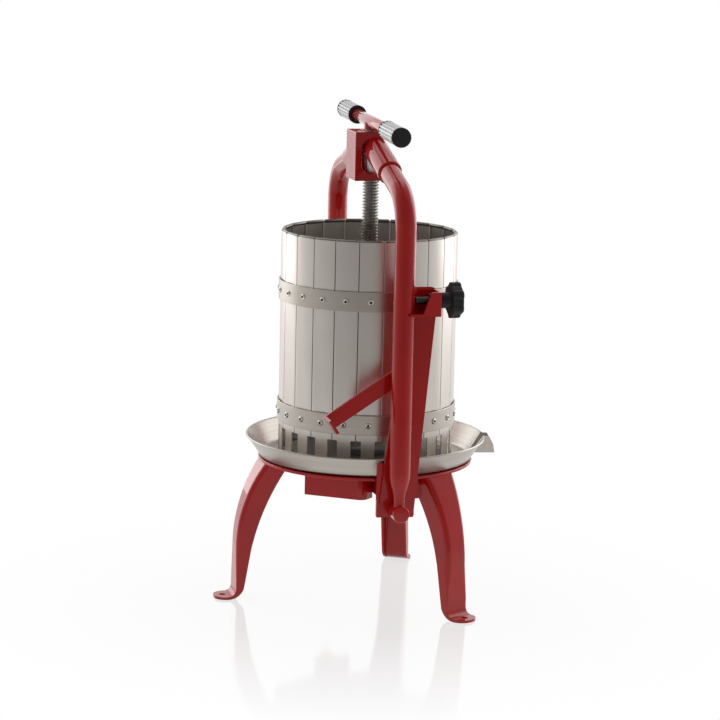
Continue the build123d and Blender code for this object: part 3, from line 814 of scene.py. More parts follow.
@dataclass
class Studio:
    """Camera, floor and light of the picture. Floor and world are dimmer on the camera's side.

    Attributes:
        eye: Place of the camera in metres.
        aim: Point that it looks at.
        lens: Focal length for a 36 mm sensor.
        roll: Turn of the camera about its line of sight, in degrees.
        shift: Shift of the picture.
        dim_side: Direction from the press to the dim side of the room.
        dim_level: Brightness of that side.
        dim_reach: Where along that direction the dimming begins and ends.
        floor_half: Half of the floor's length in metres.
        floor_white: Share of light that the floor throws back.
        near_floor: Brightness that gloss finds on the floor beside the press.
        near_reach: Radii in metres between which the floor goes over to plain white.
        bounce_reach: Radii between which the light that it throws back fades on the dim side.
        glow_share: Share of plain white in the floor beside the press.
        gloss_share: Share of its mirror in the rest.
    """

    eye: Vector = field(default_factory=lambda: Vector((-0.8557, -3.3086, 0.9354)))
    aim: Vector = field(default_factory=lambda: Vector((0, 0, 0.326)))
    lens: float = 130.34
    roll: float = 1.287
    shift: Range = (-0.00973, -0.00954)
    dim_side: Vector = field(default_factory=lambda: Vector((-0.2, -0.774, 0.6)))
    dim_level: float = 0.34
    dim_reach: Range = (-0.35, 0.85)
    floor_half: float = 30.0
    floor_white: float = 0.92
    near_floor: float = 0.98
    near_reach: Range = (0.22, 0.6)
    bounce_reach: Range = (0.5, 1.5)
    glow_share: float = 0.72
    gloss_share: float = 0.7

    def hang(self, data: bpy.types.Camera | bpy.types.Light, place: Vector,
             roll: float = 0.0) -> bpy.types.Object:
        """Hangs a camera or a light so that it looks at the press.

        Args:
            data: The camera or light.
            place: Where it hangs, in metres.
            roll: Its turn about the line of sight, in degrees.

        Returns:
            The new object.
        """
        thing = bpy.data.objects.new(data.name, data)
        thing.location = place
        thing.rotation_mode = "QUATERNION"
        aim = (self.aim - place).to_track_quat("-Z", "Y")
        thing.rotation_quaternion = aim @ Quaternion((0, 0, 1), math.radians(roll))
        bpy.context.scene.collection.objects.link(thing)
        return thing

    def camera(self) -> None:
        """Sets the camera at the picture's angle."""
        lens = bpy.data.cameras.new("camera")
        lens.lens = self.lens
        lens.sensor_width = 36
        lens.shift_x, lens.shift_y = self.shift
        lens.clip_end = 50
        bpy.context.scene.camera = self.hang(lens, self.eye, self.roll)

    def level(self, bench: NodeBench, direction: Socket, most: float = 1.0) -> Socket:
        """Brightness of the surroundings in a direction.

        Args:
            bench: Tree that it is worked out in.
            direction: The direction.
            most: Brightness of the side away from the dim one.

        Returns:
            The brightness.
        """
        return bench.ramp(bench.dot(direction, self.dim_side), self.dim_reach,
                          (most, most * self.dim_level))

    def floor(self) -> None:
        """Lays a pale floor that keeps a soft shadow and a faint mirror image."""
        blank = Blank()
        bmesh.ops.create_grid(blank.bm, x_segments=1, y_segments=1, size=self.floor_half / MM)
        floor = blank.finish("floor")
        material = bpy.data.materials.new("pale_floor")
        bench = NodeBench(material, "Principled BSDF")
        distance = bench.length(bench.place)
        direction = bench.add("VectorMath", {0: bench.place}, operation="NORMALIZE")
        outer = bench.ramp(distance, self.bounce_reach)
        thrown = bench.mix(outer, self.floor_white, self.level(bench, direction, self.floor_white))
        bench.dress({"Base Color": thrown, "Roughness": 0.6, "Specular IOR Level": 0.0})
        lit = bench.shader.outputs[0]
        mirror = bench.add("BsdfGlossy", {"Color": WHITE, "Roughness": 0.08})
        white = bench.add("Emission", {"Color": WHITE, "Strength": 1.0})
        strength = bench.mix(outer, self.near_floor, self.level(bench, direction))
        found = bench.add("Emission", {"Color": WHITE, "Strength": strength})
        plain = bench.mix(bench.ramp(distance, self.near_reach), self.glow_share, 1.0)
        seen = bench.shade(plain, bench.shade(self.gloss_share, lit, mirror), white)
        other = bench.shade(bench.add("LightPath", {}, "Is Glossy Ray"), lit, found)
        surface = bench.shade(bench.add("LightPath", {}, "Is Camera Ray"), other, seen)
        bench.feed(bench.tree.nodes["Material Output"], {"Surface": surface})
        floor.data.materials.append(material)

    def world(self) -> None:
        """White surroundings with a dimmer front, as in a light tent."""
        world = bpy.data.worlds.new("light_tent")
        bpy.context.scene.world = world
        bench = NodeBench(world, "Background")
        around = self.level(bench, bench.add("TexCoord", {}, "Generated"))
        strength = bench.mix(bench.add("LightPath", {}, "Is Camera Ray"), around, 1.0)
        bench.dress({"Color": WHITE, "Strength": strength})

    def lamp(self, box: Softbox) -> None:
        """Hangs a soft light that the camera does not see.

        Args:
            box: What the light is like.
        """
        light = bpy.data.lights.new(box.name, "AREA")
        light.shape = "RECTANGLE"
        light.size, light.size_y = box.size
        light.energy = box.power
        self.hang(light, box.place).visible_camera = False

    def build(self) -> None:
        """Sets up the whole studio."""
        bpy.context.scene.view_settings.view_transform = "Standard"
        self.camera()
        self.floor()
        self.world()
        for box in SOFTBOXES:
            self.lamp(box)


@dataclass
class Basket:
    """Slats, hoops and rivets of the basket.

    Attributes:
        shop: Finishes.
        count: Number of slats.
        start: Angle of the first slat in degrees.
        face: Distance of a slat's face from the screw axis.
        width: Width of a slat.
        sheet: Thickness of its sheet.
        turned: Depth of its turned-in edges.
        fold: Radius of the folds.
        notch: Width of the cut in each lower corner.
        notch_top: Height of the cut's upper end.
        hem: Radius of the rolled upper end.
        hem_inset: How far the roll stops short of the slat's edges.
        hem_end: Rounding of the roll's ends.
        hoop_wall: Thickness of a hoop.
        rivet: Radius of a rivet head.
        rivet_height: Height of the head.
        rivet_edge: Height of its straight edge.
        rivet_crown: Where its crown begins, as shares of its height and radius.
        rivet_bore: Radius of the hollow in it.
        rivet_lip: Width of the lip round the hollow.
        lip_fall: Fall of the lip into the hollow.
        shade_core: Height of the dark core in the hollow, which paints its shade.
        tail: Radius of a rivet's tail inside the slat.
        tail_height: Height of the tail.
        tail_root: How far it goes into the slat.
        tail_crown: Where its crown begins, as a share of height and radius.
    """

    shop: Workshop
    count: int = 23
    start: float = -102.7
    face: float = 115.7
    width: float = 30.8
    sheet: float = 1.5
    turned: float = 3.0
    fold: float = 0.4
    notch: float = 6.5
    notch_top: float = 230.0
    hem: float = 2.4
    hem_inset: float = 0.5
    hem_end: float = 1.2
    hoop_wall: float = 1.9
    rivet: float = 4.0
    rivet_height: float = 1.7
    rivet_edge: float = 0.4
    rivet_crown: Range = (0.8, 0.75)
    rivet_bore: float = 1.8
    rivet_lip: float = 0.7
    lip_fall: float = 0.2
    shade_core: float = 0.4
    tail: float = 3.4
    tail_height: float = 1.0
    tail_root: float = 0.5
    tail_crown: float = 0.8

    def all_round(self, make: Callable[..., None], *sizes: float) -> Blank:
        """Makes a form on the X axis once for each slat, and turns it to the slat's place.

        Args:
            make: Makes the form in a blank.
            sizes: What it needs to know.

        Returns:
            The blank with all of them.
        """
        blank = Blank()
        for number in range(self.count):
            known = set(blank.bm.verts)
            make(blank, *sizes)
            fresh = [vert for vert in blank.bm.verts if vert not in known]
            blank.swing(fresh, self.start + number * 360 / self.count)
        return blank

    def slats(self) -> None:
        """Presses one sheet slat with a rolled hem for each place round the basket."""
        gauge = Gauge.of("basket_slats")
        top = gauge.high.z - self.hem
        sheets = self.all_round(self.sheet_slat, gauge.low.z, top)
        self.shop.fit(sheets.finish("basket_staves"), self.shop.slat, Body.BASKET, Slot.STAINLESS,
                      "basket_slats")
        # The hems are finished darker than the slats, as painted shade and painted dark reflection.
        hems = self.all_round(self.rolled_hem, top)
        self.shop.fit(hems.finish("stave_hems"), self.shop.hem, Body.BASKET, Slot.STAINLESS)

    def sheet_slat(self, blank: Blank, bottom: float, top: float) -> None:
        """Presses the sheet of one slat, with notched lower corners and turned-in edges.

        Args:
            blank: Mesh that takes the slat.
            bottom: Height of its lower end.
            top: Height of its upper end.
        """
        bm = blank.bm
        known = set(bm.faces)
        half, inner = self.width / 2, self.width / 2 - self.notch
        outline = ((-inner, bottom), (inner, bottom), (inner, self.notch_top), (half, self.notch_top),
                   (half, top), (-half, top), (-half, self.notch_top), (-inner, self.notch_top))
        wire = Wire(blank, *(Vector((self.face, across, height)) for across, height in outline)).close()
        bmesh.ops.contextual_create(bm, geom=wire.edges)
        sides = [edge for edge in wire.edges
                 if abs(edge.verts[0].co.y + edge.verts[1].co.y) / 2 > inner + SAME_POINT]
        blank.draw(sides, ALONG_X * -self.turned)
        bmesh.ops.bevel(bm, geom=sides, offset=self.fold, offset_type="OFFSET", affect="EDGES",
                        segments=3, profile=0.5, material=-1, clamp_overlap=True)
        faces = [face for face in bm.faces if face not in known]
        blank.sheet(faces, max(faces, key=BMFace.calc_area), ALONG_X, self.sheet)

    def rolled_hem(self, blank: Blank, top: float) -> None:
        """Rolls the upper end of one slat, with rounded ends.

        Args:
            blank: Mesh that takes the roll.
            top: Height of the roll's middle.
        """
        middle = Vector((self.face - self.hem, 0, top))
        end = self.width / 2 - self.hem_inset
        flat, shoulder = end - self.hem_end, self.hem - self.hem_end
        wire = Wire(blank, middle - ALONG_Y * end, middle + Vector((0, -end, shoulder)))
        wire.arc(middle + Vector((0, -flat, shoulder)), ALONG_X, -90, steps=3)
        wire.to(middle + Vector((0, flat, self.hem)))
        wire.arc(middle + Vector((0, flat, shoulder)), ALONG_X, -90, steps=3)
        wire.to(middle + ALONG_Y * end).turn(middle, ALONG_Y, steps=14)

    def hoops(self) -> None:
        """Rolls the two hoops."""
        for name in ("upper_band", "lower_band"):
            gauge = Gauge.of(name)
            outer, low, high = gauge.size.x / 2, gauge.low.z, gauge.high.z
            inner = outer - self.hoop_wall
            corners = ((inner, low), (outer, low), (outer, high), (inner, high))
            blank = Blank()
            Wire.half(blank, corners).close().turn(ORIGIN, UP, steps=184)
            piece = blank.finish(name.replace("band", "hoop"), soft=0.4)
            self.shop.fit(piece, self.shop.hoop, Body.BASKET, Slot.STAINLESS, name)

    def rivets(self) -> None:
        """Sets a hollow-headed rivet in each slat at each hoop, with a dark core that paints the shade in
        the hollow.
        """
        seat = Gauge.of("upper_band").size.x / 2
        for name in ("upper_rivets", "lower_rivets"):
            height = Gauge.of(name).middle.z
            heads = self.all_round(self.rivet_head, seat, height)
            piece = heads.finish(name.replace("rivets", "rivet_heads"), crease=50)
            self.shop.fit(piece, self.shop.rivet, Body.BASKET, Slot.STAINLESS, name)
            # A dark core in each hollow paints the shade at its bottom.
            shade_cores = self.all_round(self.rivet_shade_core, seat, height)
            piece = shade_cores.finish(name.replace("rivets", "rivet_shade_cores"))
            self.shop.fit(piece, self.shop.dark, Body.BASKET, Slot.SCREW)

    def rivet_head(self, blank: Blank, seat: float, height: float) -> None:
        """Turns one hollow head and the tail inside the slat.

        Args:
            blank: Mesh that takes them.
            seat: Radius of the hoop's face.
            height: Height of the rivet.
        """
        bore, lip, back = self.rivet_bore, seat + self.rivet_height, self.face - self.sheet
        rise, spread = self.rivet_crown
        head = ((seat, self.rivet), (seat + self.rivet_edge, self.rivet),
                (seat + rise * self.rivet_height, spread * self.rivet), (lip, bore + self.rivet_lip),
                (lip - self.lip_fall, bore), (seat, bore))
        Wire.half(blank, head, height).close().turn(UP * height, ALONG_X, steps=16)
        root, crown = back + self.tail_root, back - self.tail_crown * self.tail_height
        tail = ((root, 0), (root, self.tail), (back, self.tail), (crown, self.tail_crown * self.tail),
                (back - self.tail_height, 0))
        Wire.half(blank, tail, height).turn(UP * height, ALONG_X, steps=12)

    def rivet_shade_core(self, blank: Blank, seat: float, height: float) -> None:
        """Turns the dark core that paints the shade at the bottom of one rivet's hollow.

        Args:
            blank: Mesh that takes it.
            seat: Radius of the hoop's face.
            height: Height of the rivet.
        """
        low, high = seat - self.shade_core, seat + self.shade_core
        shade_core = ((low, 0), (low, self.rivet_bore), (high, self.rivet_bore), (high, 0))
        Wire.half(blank, shade_core, height).turn(UP * height, ALONG_X, steps=12)

    def build(self) -> None:
        """Builds the basket."""
        self.slats()
        self.hoops()
        self.rivets()


@dataclass
class DripTray:
    """Spun dish with a rolled rim and a pouring spout.

    Attributes:
        shop: Finishes.
        base: Radius where floor and wall would meet.
        rim: Radius of the rolled rim's middle.
        roll: Radius of the roll.
        wall: Thickness of the sheet.
        heel: Radius between floor and wall.
        spout_angle: Direction of the spout in degrees.
        spout_reach: Where its floor ends.
        spout_lip: Where its sides end at the rim.
        spout_floor: Height of its underside.
        floor_half: Half of its width at the floor.
        top_half: Half of its width at the rim.
        floor: Height of the dish's underside.
        top: Height of the roll's middle.
    """

    shop: Workshop
    base: float = 140.0
    rim: float = 158.6
    roll: float = 1.4
    wall: float = 1.2
    heel: float = 6.0
    spout_angle: float = -9.0
    spout_reach: float = 174.0
    spout_lip: float = 166.0
    spout_floor: float = 192.8
    floor_half: float = 8.0
    top_half: float = 13.0
    floor: float = field(init=False)
    top: float = field(init=False)

    def __post_init__(self) -> None:
        """Takes the heights from the frame."""
        gauge = Gauge.of("drip_tray")
        self.floor, self.top = gauge.low.z, gauge.high.z - self.roll

    def dish(self) -> Blank:
        """Spins the sheet of the dish and opens its spout.

        Returns:
            The dish, with its spout on the X axis.
        """
        blank = Blank()
        rise = 90 - math.degrees(math.atan2(self.rim - self.base, self.top - self.floor))
        start = self.base - self.heel * math.tan(math.radians(rise / 2))
        wire = Wire(blank, UP * self.floor, Vector((start, 0, self.floor)))
        wire.arc(Vector((start, 0, self.floor + self.heel)), ALONG_Y, -rise, steps=6)
        wire.to(Vector((self.rim, 0, self.top))).turn(ORIGIN, UP, steps=180)
        self.spout(blank)
        faces = blank.bm.faces[:]
        bottom = min(faces, key=lambda face: face.calc_center_median().xy.length)
        blank.sheet(faces, bottom, -UP, self.wall)
        return blank

    def spout(self, blank: Blank) -> None:
        """Cuts the dish's wall, made on the X axis, and draws the edges of the cut out to a lip.

        Args:
            blank: Mesh that holds the dish.
        """
        bm = blank.bm
        tall = self.top - self.spout_floor
        narrowing = self.floor_half - self.top_half
        flats = [(Vector((0, sign * self.floor_half, self.spout_floor)), Vector((0, sign * tall, narrowing)))
                 for sign in (1, -1)]
        flats.append((UP * self.spout_floor, -UP))
        wall = [face for face in bm.faces
                if face.calc_center_median().x > self.base - self.heel
                and abs(face.calc_center_median().y) < 2 * self.top_half]
        for point, normal in flats:
            parts = unique([*wall, *(edge for face in wall for edge in face.edges),
                            *(vert for face in wall for vert in face.verts)])
            cut = bmesh.ops.bisect_plane(bm, geom=parts, plane_co=point, plane_no=normal)
            wall = only(BMFace, cut["geom"])
        waste = [face for face in wall
                 if all((face.calc_center_median() - point).dot(normal) < 0 for point, normal in flats)]
        rims = unique(edge for face in waste for edge in face.edges)
        bmesh.ops.delete(bm, geom=waste, context="FACES")
        rims = [edge for edge in rims if edge.is_valid and edge.is_boundary
                and min(vert.co.z for vert in edge.verts) < self.top - SAME_POINT]
        for vert in only(BMVert, bmesh.ops.extrude_edge_only(bm, edges=rims)["geom"]):
            share = (vert.co.z - self.spout_floor) / tall
            vert.co.x = self.spout_reach + share ** 2 * (self.spout_lip - self.spout_reach)

    def rolled_rim(self) -> Blank:
        """Rolls the rim.

        Returns:
            The rim, open at the spout on the X axis.
        """
        blank = Blank()
        gap = math.degrees(math.asin(self.top_half / self.rim))
        ring = blank.ring(Vector((self.rim, 0, self.top)), ALONG_Y, self.roll, sides=12)
        blank.swing(blank.bm.verts, gap)
        blank.bend(ring, ORIGIN, UP, 360 - 2 * gap, steps=170)
        blank.close()
        return blank

    def build(self) -> None:
        """Builds the tray."""
        for part, name, nodes in ((self.dish(), "spun_dish", ("drip_tray",)),
                                  (self.rolled_rim(), "dish_rim", ())):
            part.swing(part.bm.verts, self.spout_angle)
            self.shop.fit(part.finish(name, crease=30), self.shop.dish, Body.TRAY, Slot.STAINLESS, *nodes)


@dataclass
class Arch:
    """Tilting arch: tubes, eyes, sleeves, nut carrier and press nut. Both sides are made as the near one.

    Attributes:
        shop: Finishes.
        bend_start: Height where the tube begins to bend.
        bend_radius: Radius of the bend.
        slope: Rise of the roof in degrees.
        inner_end: Distance of the tube's upper end from the screw axis.
        sides: Sides of the tube's round.
        pivot: Height of the tilt axis.
        neck: Radius of the drawn-in end.
        neck_top: Height where the drawing-in ends.
        eye: Radius of the eye.
        eye_edge: Rounding of its edges.
        sleeve_end: Distance of a sleeve's outer end from the screw axis.
        sleeve_inner: Distance of its inner end.
        sleeve_bore: Radius of its bore.
        sleeve_radius: Its radius.
        sleeve_round: Rounding of its outer end.
        foot: Height of the tube's lower end.
        radius: Radius of the tube.
        offset: Distance of its upright from the screw axis, along Y.
        along: Direction of the roof.
        bend_end: Where the bend ends.
    """

    shop: Workshop
    bend_start: float = 513.5
    bend_radius: float = 52.0
    slope: float = 17.0
    inner_end: float = 42.0
    sides: int = 56
    pivot: float = 151.0
    neck: float = 7.3
    neck_top: float = 164.0
    eye: float = 10.7
    eye_edge: float = 1.8
    sleeve_end: float = 98.5
    sleeve_inner: float = 25.0
    sleeve_bore: float = 13.65
    sleeve_radius: float = 16.1
    sleeve_round: float = 2.2
    foot: float = field(init=False)
    radius: float = field(init=False)
    offset: float = field(init=False)
    along: Vector = field(init=False)
    bend_end: Vector = field(init=False)

    def __post_init__(self) -> None:
        """Takes the tube's size from the frame and works out where its roof begins."""
        gauge = Gauge.of("near_arch_tube")
        self.foot, self.radius = gauge.low.z, gauge.size.x / 2
        self.offset = gauge.low.y + self.radius
        slope = math.radians(self.slope)
        self.along = Vector((0, math.cos(slope), math.sin(slope)))
        self.bend_end = Vector((0, self.offset + self.bend_radius * (1 - self.along.z),
                                self.bend_start + self.bend_radius * self.along.y))

    def tube(self) -> Blank:
        """Bends one tube of the arch.

        Returns:
            The piece of the near side.
        """
        blank = Blank()
        ring = blank.ring(Vector((0, self.offset, self.foot)), UP, self.radius, self.sides)
        ring = blank.draw(ring, UP * (self.bend_start - self.foot))
        centre = Vector((0, self.offset + self.bend_radius, self.bend_start))
        ring = blank.bend(ring, centre, ALONG_X, self.slope - 90, steps=28)
        blank.draw(ring, self.along * ((-self.inner_end - self.bend_end.y) / self.along.y))
        blank.close()
        return blank

    def pivot_eye(self) -> Blank:
        """Draws one tube's end in to a neck and rounds its eye.

        Returns:
            The piece of the near side.
        """
        step, height = self.radius - self.neck, self.foot - self.neck_top
        sweep = (height ** 2 + step ** 2) / (4 * step)
        turn = math.degrees(math.asin(height / 2 / sweep))
        offset = self.offset
        blank = Blank()
        wire = Wire(blank, Vector((self.radius, offset, self.foot)))
        wire.arc(Vector((self.radius - sweep, offset, self.foot)), ALONG_Y, turn, steps=8)
        wire.arc(Vector((self.neck + sweep, offset, self.neck_top)), ALONG_Y, -turn, steps=8)
        wire.to(Vector((self.neck, offset, self.pivot + self.eye / 2)))
        wire.turn(ALONG_Y * offset, UP, self.sides)
        blank.close()
        gauge = Gauge.of("near_arch_eye")
        low, high, rim = gauge.low.y, gauge.high.y, self.pivot + self.eye - self.eye_edge
        wire = Wire(blank, Vector((0, low, self.pivot)), Vector((0, low, rim)))
        wire.arc(Vector((0, low + self.eye_edge, rim)), ALONG_X, -90, steps=4)
        wire.to(Vector((0, high - self.eye_edge, self.pivot + self.eye)))
        wire.arc(Vector((0, high - self.eye_edge, rim)), ALONG_X, -90, steps=4)
        wire.to(Vector((0, high, self.pivot))).turn(UP * self.pivot, ALONG_Y, steps=48)
        return blank

    def sleeve(self) -> Blank:
        """Turns one roof sleeve about the tube's middle line and cuts its inner end upright.

        Returns:
            The piece of the near side.
        """
        along = self.along
        across = Vector((0, -along.z, along.y))
        start = self.bend_end + along * ((-self.sleeve_end - self.bend_end.y) / along.y)
        end = start + along * ((self.sleeve_end - self.sleeve_inner + self.sleeve_radius) / along.y)
        shoulder = across * (self.sleeve_radius - self.sleeve_round)
        blank = Blank()
        wire = Wire(blank, start + across * self.sleeve_bore, start + shoulder)
        wire.arc(start + along * self.sleeve_round + shoulder, ALONG_X, -90, steps=5)
        wire.to(end + across * self.sleeve_radius, end + across * self.sleeve_bore).close()
        wire.turn(start, along, self.sides)
        cut = blank.trim(ALONG_Y * -self.sleeve_inner, ALONG_Y)
        bmesh.ops.bridge_loops(blank.bm, edges=cut)
        bmesh.ops.recalc_face_normals(blank.bm, faces=blank.bm.faces)
        return blank

    def build(self) -> None:
        """Builds the arch."""
        for side in Side:
            for blank, name, node in ((self.tube(), "bent_tube", "arch_tube"),
                                      (self.pivot_eye(), "pivot_eye", "arch_eye"),
                                      (self.sleeve(), "roof_sleeve", "sleeve")):
                if side is Side.FAR:
                    bmesh.ops.scale(blank.bm, verts=blank.bm.verts, vec=(1, -1, 1))
                    bmesh.ops.reverse_faces(blank.bm, faces=blank.bm.faces)
                self.shop.fit(blank.finish(side.node(name)), self.shop.red, Body.ARCH, Slot.RED,
                              side.node(node))
            for fastener in ("pivot_pin", "pivot_spacer", "pivot_washer", "pivot_nut"):
                self.shop.keep(side.node(fastener), self.shop.zinc)
        self.shop.keep("nut_carrier", self.shop.red, soft=1.0)
        self.shop.keep("press_nut", self.shop.nut, soft=0.8)


@dataclass
class ScrewAndHandle:
    """Press screw with its real thread, head, T-bar, grips and foot.

    Attributes:
        shop: Finishes.
        pitch: Rise of one turn of the thread.
        root: Radius of its root.
        crest: Radius of its crest.
        flanks: Where in the pitch the crest begins, where it ends, and where the root begins.
        thread_start: Height of its lower end.
        turns: Number of its turns.
        steps: Segments round a turn.
        pintle: Radius of the plain end in the foot.
        shoulder: Height where the pintle ends.
        plain_steps: Segments round the plain ends.
    """

    shop: Workshop
    pitch: float = 4.0
    root: float = 8.8
    crest: float = 11.0
    flanks: tuple[float, float, float] = (0.16, 0.46, 0.62)
    thread_start: float = 282.0
    turns: int = 82
    steps: int = 24
    pintle: float = 7.0
    shoulder: float = 275.0
    plain_steps: int = 32

    def thread(self) -> None:
        """Cuts the thread as a true helix, trims both of its ends and adds the plain ends."""
        gauge = Gauge.of("press_screw")
        blank = Blank()
        low, top = self.thread_start - self.pitch, self.thread_start + self.turns * self.pitch
        rise, crest_end, fall = self.flanks
        profile = ((self.root, 0.0), (self.crest, rise), (self.crest, crest_end), (self.root, fall),
                   (self.root, 1.0))
        wire = Wire.half(blank, [(radius, share * self.pitch) for radius, share in profile], low)
        rounds = self.turns + 2
        bmesh.ops.spin(blank.bm, geom=[*wire.verts, *wire.edges], cent=ORIGIN, axis=UP,
                       steps=rounds * self.steps, dvec=UP * (self.pitch / self.steps),
                       angle=math.tau * rounds, use_merge=False)
        bmesh.ops.remove_doubles(blank.bm, verts=blank.bm.verts, dist=2 * SAME_POINT)
        blank.trim(UP * self.thread_start, -UP)
        blank.trim(UP * top, UP)
        blank.close()
        foot, head, root, pintle = gauge.low.z, gauge.high.z, self.root, self.pintle
        lower = ((0, foot), (pintle, foot), (pintle, self.shoulder), (root, self.shoulder),
                 (root, self.thread_start), (0, self.thread_start))
        for plain in (lower, ((0, top), (root, top), (root, head), (0, head))):
            Wire.half(blank, plain).turn(ORIGIN, UP, self.plain_steps)
        self.shop.fit(blank.finish("threaded_screw", crease=30), self.shop.thread, Body.SCREW, Slot.SCREW,
                      "press_screw")

    def build(self) -> None:
        """Builds the screw and its handle."""
        self.thread()
        self.shop.keep("screw_head", self.shop.red)
        self.shop.keep("t_bar", self.shop.red, soft=0.6)
        self.shop.keep("screw_foot", self.shop.thread, soft=0.8)
        for side in Side:
            self.shop.keep(side.node("grip"), self.shop.grip)
            self.shop.keep(side.node("grip_ring"), self.shop.black, soft=0.4)
            self.shop.keep(side.node("grip_cap"), self.shop.black)


@dataclass
class Legs:
    """Three pressed channel legs with rounded folds and drilled toes.

    Lengths are measured in the plane of a leg: the reach from the screw axis, and the height.

    Attributes:
        shop: Finishes.
        angles: Direction of each leg in degrees.
        half: Half of the leg's width.
        flare: How much wider each side is under the disc.
        flare_start: Height where the widening begins.
        wall: Thickness of the sheet.
        sole: Thickness of the toe.
        back_radius: Radius of the curved back.
        back: Reach of the back's lower, straight stretch.
        back_height: Height where the curve begins.
        bend: Radius between back and toe.
        heel: Radius of the flanges' lower corner.
        front_middle: Reach and height of a point of the flanges' inner edge.
        front_top: Reach of that edge under the disc.
        fold: Radius of the folds between back and flanges.
        fold_least: Radius of the folds at the toe.
        fold_end: Height where they have become that small.
        toe: Reach of the toe.
        toe_lap: How far the toe begins before the bend ends.
        toe_corner: Radius of its corners.
        hole: Radius of its hole.
        hole_reach: Reach of the hole.
        disc: Height of the disc's underside.
        overrun: How far the back is drawn past the disc before it is cut level, in degrees.
        curve_steps: Segments down the curved back.
        bend_steps: Segments round the bend at the toe.
    """

    shop: Workshop
    angles: dict[str, float] = field(
        default_factory=lambda: {"left_leg": 180.0, "near_leg": -60.0, "far_leg": 60.0})
    half: float = 18.0
    flare: float = 8.0
    flare_start: float = 90.0
    wall: float = 3.0
    sole: float = 3.5
    back_radius: float = 204.0
    back: float = 177.0
    back_height: float = 69.0
    bend: float = 10.0
    heel: float = 22.0
    front_middle: Range = (147.8, 102.0)
    front_top: float = 110.0
    fold: float = 7.0
    fold_least: float = 0.8
    fold_end: float = 24.0
    toe: float = 204.0
    toe_lap: float = 1.0
    toe_corner: float = 16.0
    hole: float = 4.5
    hole_reach: float = 192.0
    disc: float = field(default_factory=lambda: Gauge.of("near_leg").high.z)
    overrun: float = 9.0
    curve_steps: int = 26
    bend_steps: int = 8

    def stations(self) -> list[tuple[Vector, Vector]]:
        """Points down the middle of the back, from just above the disc to the toe.

        Returns:
            Each point with the direction into the channel.
        """
        middle = Vector((self.back - self.back_radius, 0, self.back_height))
        lean = math.asin((self.disc - self.back_height) / self.back_radius) + math.radians(self.overrun)
        spots = []
        for step in range(self.curve_steps + 1):
            turn = lean * (1 - step / self.curve_steps)
            out = Vector((math.cos(turn), 0, math.sin(turn)))
            spots.append((middle + out * self.back_radius, -out))
        spots.append((Vector((self.back, 0, self.fold_end)), -ALONG_X))
        bend = Vector((self.back + self.bend, 0, self.sole + self.bend))
        for step in range(self.bend_steps + 1):
            turn = math.pi / 2 * step / self.bend_steps
            into = -Vector((math.cos(turn), 0, math.sin(turn)))
            spots.append((bend + into * self.bend, into))
        return spots

    def depth(self, point: Vector, into: Vector) -> float:
        """Depth of the flanges behind a point of the back.

        Args:
            point: The point.
            into: Direction into the channel.

        Returns:
            The way to the flanges' inner edge.
        """
        reach = self.back + self.bend
        start, end = Vector((reach - self.heel, 0, self.heel)), Vector((self.front_top, 0, self.disc))
        if point.z < self.heel:
            middle = Vector((reach, 0, self.heel))
        else:
            middle = circle_middle(start, Vector((self.front_middle[0], 0, self.front_middle[1])), end)
        hits = intersect_line_sphere(point, point + into, middle, (start - middle).length, False)
        return min(way for way in ((hit - point).dot(into) for hit in hits) if way > 0)

    def section(self, blank: Blank, point: Vector, into: Vector) -> list[BMEdge]:
        """Lays the section of the channel at one place.

        Args:
            blank: Mesh that takes it.
            point: Point on the middle of the back.
            into: Direction into the channel.

        Returns:
            Its edges.
        """
        share = (point.z - self.fold_end) / (self.back_height - self.fold_end)
        fold = max(self.fold_least, min(share, 1.0) * self.fold)
        rise = max(0.0, point.z - self.flare_start) / (self.disc - self.flare_start)
        half = self.half + self.flare * rise ** 2
        side, flat = ALONG_Y * half, ALONG_Y * (half - fold)
        edge, bend = point + into * self.depth(point, into), point + into * fold
        axis = ALONG_Y.cross(into)
        wire = Wire(blank, edge - side, bend - side)
        wire.arc(bend - flat, axis, 90, steps=6).to(point + flat)
        wire.arc(bend + flat, axis, 90, steps=6).to(edge + side)
        return wire.edges

    def channel(self, blank: Blank) -> None:
        """Presses the channel: back, two flanges and the rounded folds between them.

        Args:
            blank: Mesh that takes it.
        """
        rows = [self.section(blank, point, into) for point, into in self.stations()]
        for upper, lower in zip(rows, rows[1:]):
            bmesh.ops.bridge_loops(blank.bm, edges=upper + lower)
        blank.trim(UP * self.disc, UP)
        faces = blank.bm.faces[:]
        blank.sheet(faces, max(faces, key=lambda face: face.calc_center_median().x), UP, self.wall)

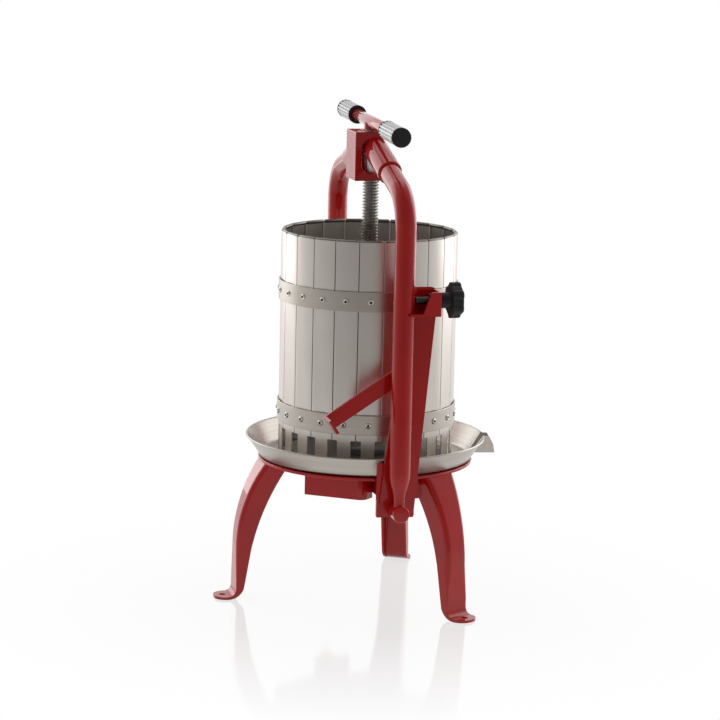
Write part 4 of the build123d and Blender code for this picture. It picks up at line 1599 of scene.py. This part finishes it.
    def toe_plate(self, blank: Blank) -> None:
        """Lays the flat toe with its hole.

        Args:
            blank: Mesh that takes it.
        """
        bm = blank.bm
        known = set(bm.faces)
        start, straight = self.back + self.bend - self.toe_lap, self.toe - self.toe_corner
        inner = self.half - self.toe_corner
        wire = Wire(blank, Vector((start, -self.half, 0)), Vector((straight, -self.half, 0)))
        wire.arc(Vector((straight, -inner, 0)), UP, 90, steps=10).to(Vector((self.toe, inner, 0)))
        wire.arc(Vector((straight, inner, 0)), UP, 90, steps=10).to(Vector((start, self.half, 0))).close()
        blank.ring(ALONG_X * self.hole_reach, UP, self.hole, sides=24)
        filled = bmesh.ops.triangle_fill(bm, edges=wire.edges, use_beauty=True, use_dissolve=False)["geom"]
        grown = bmesh.ops.extrude_face_region(bm, geom=only(BMFace, filled))["geom"]
        bmesh.ops.translate(bm, verts=only(BMVert, grown), vec=UP * self.sole)
        bmesh.ops.recalc_face_normals(bm, faces=[face for face in bm.faces if face not in known])

    def build(self) -> None:
        """Builds the legs."""
        for name, angle in self.angles.items():
            blank = Blank()
            self.channel(blank)
            self.toe_plate(blank)
            blank.swing(blank.bm.verts, angle)
            piece = blank.finish(f"pressed_{name}", crease=40)
            weight = piece.modifiers.new("flat_flanges", "WEIGHTED_NORMAL")
            weight.keep_sharp = True
            self.shop.fit(piece, self.shop.red, Body.BASE, Slot.RED, name)


@dataclass
class Base:
    """Disc, beam, aprons, uprights, stop arm, clamp bracket and pressing plate."""

    shop: Workshop

    def build(self) -> None:
        """Dresses the base."""
        self.shop.keep("base_disc", self.shop.red)
        for node in ("cross_beam", "near_beam_plate", "far_beam_plate", "near_left_apron",
                     "near_right_apron", "far_left_apron", "far_right_apron", "near_upright", "far_upright",
                     "stop_arm", "clamp_bracket"):
            self.shop.keep(node, self.shop.red, soft=0.7)
        for node in ("leg_screws", "leg_nuts"):
            self.shop.keep(node, self.shop.zinc)
        for node in ("clamp_nut", "clamp_stud"):
            self.shop.keep(node, self.shop.dark)
        self.shop.keep("clamp_washer", self.shop.zinc, soft=0.3)
        self.shop.keep("clamp_knob", self.shop.black, soft=0.8)
        self.shop.keep("pressing_plate", self.shop.plate)
        self.shop.keep("plate_seat", self.shop.plate, soft=0.6)


def main() -> None:
    """Builds the studio and the press, piece by piece."""
    logging.basicConfig(level=logging.INFO, format="%(message)s")
    Studio().build()
    shop = Workshop()
    for assembly in (Base, Legs, DripTray, Basket, Arch, ScrewAndHandle):
        assembly(shop).build()


if __name__ == "__main__":
    main()
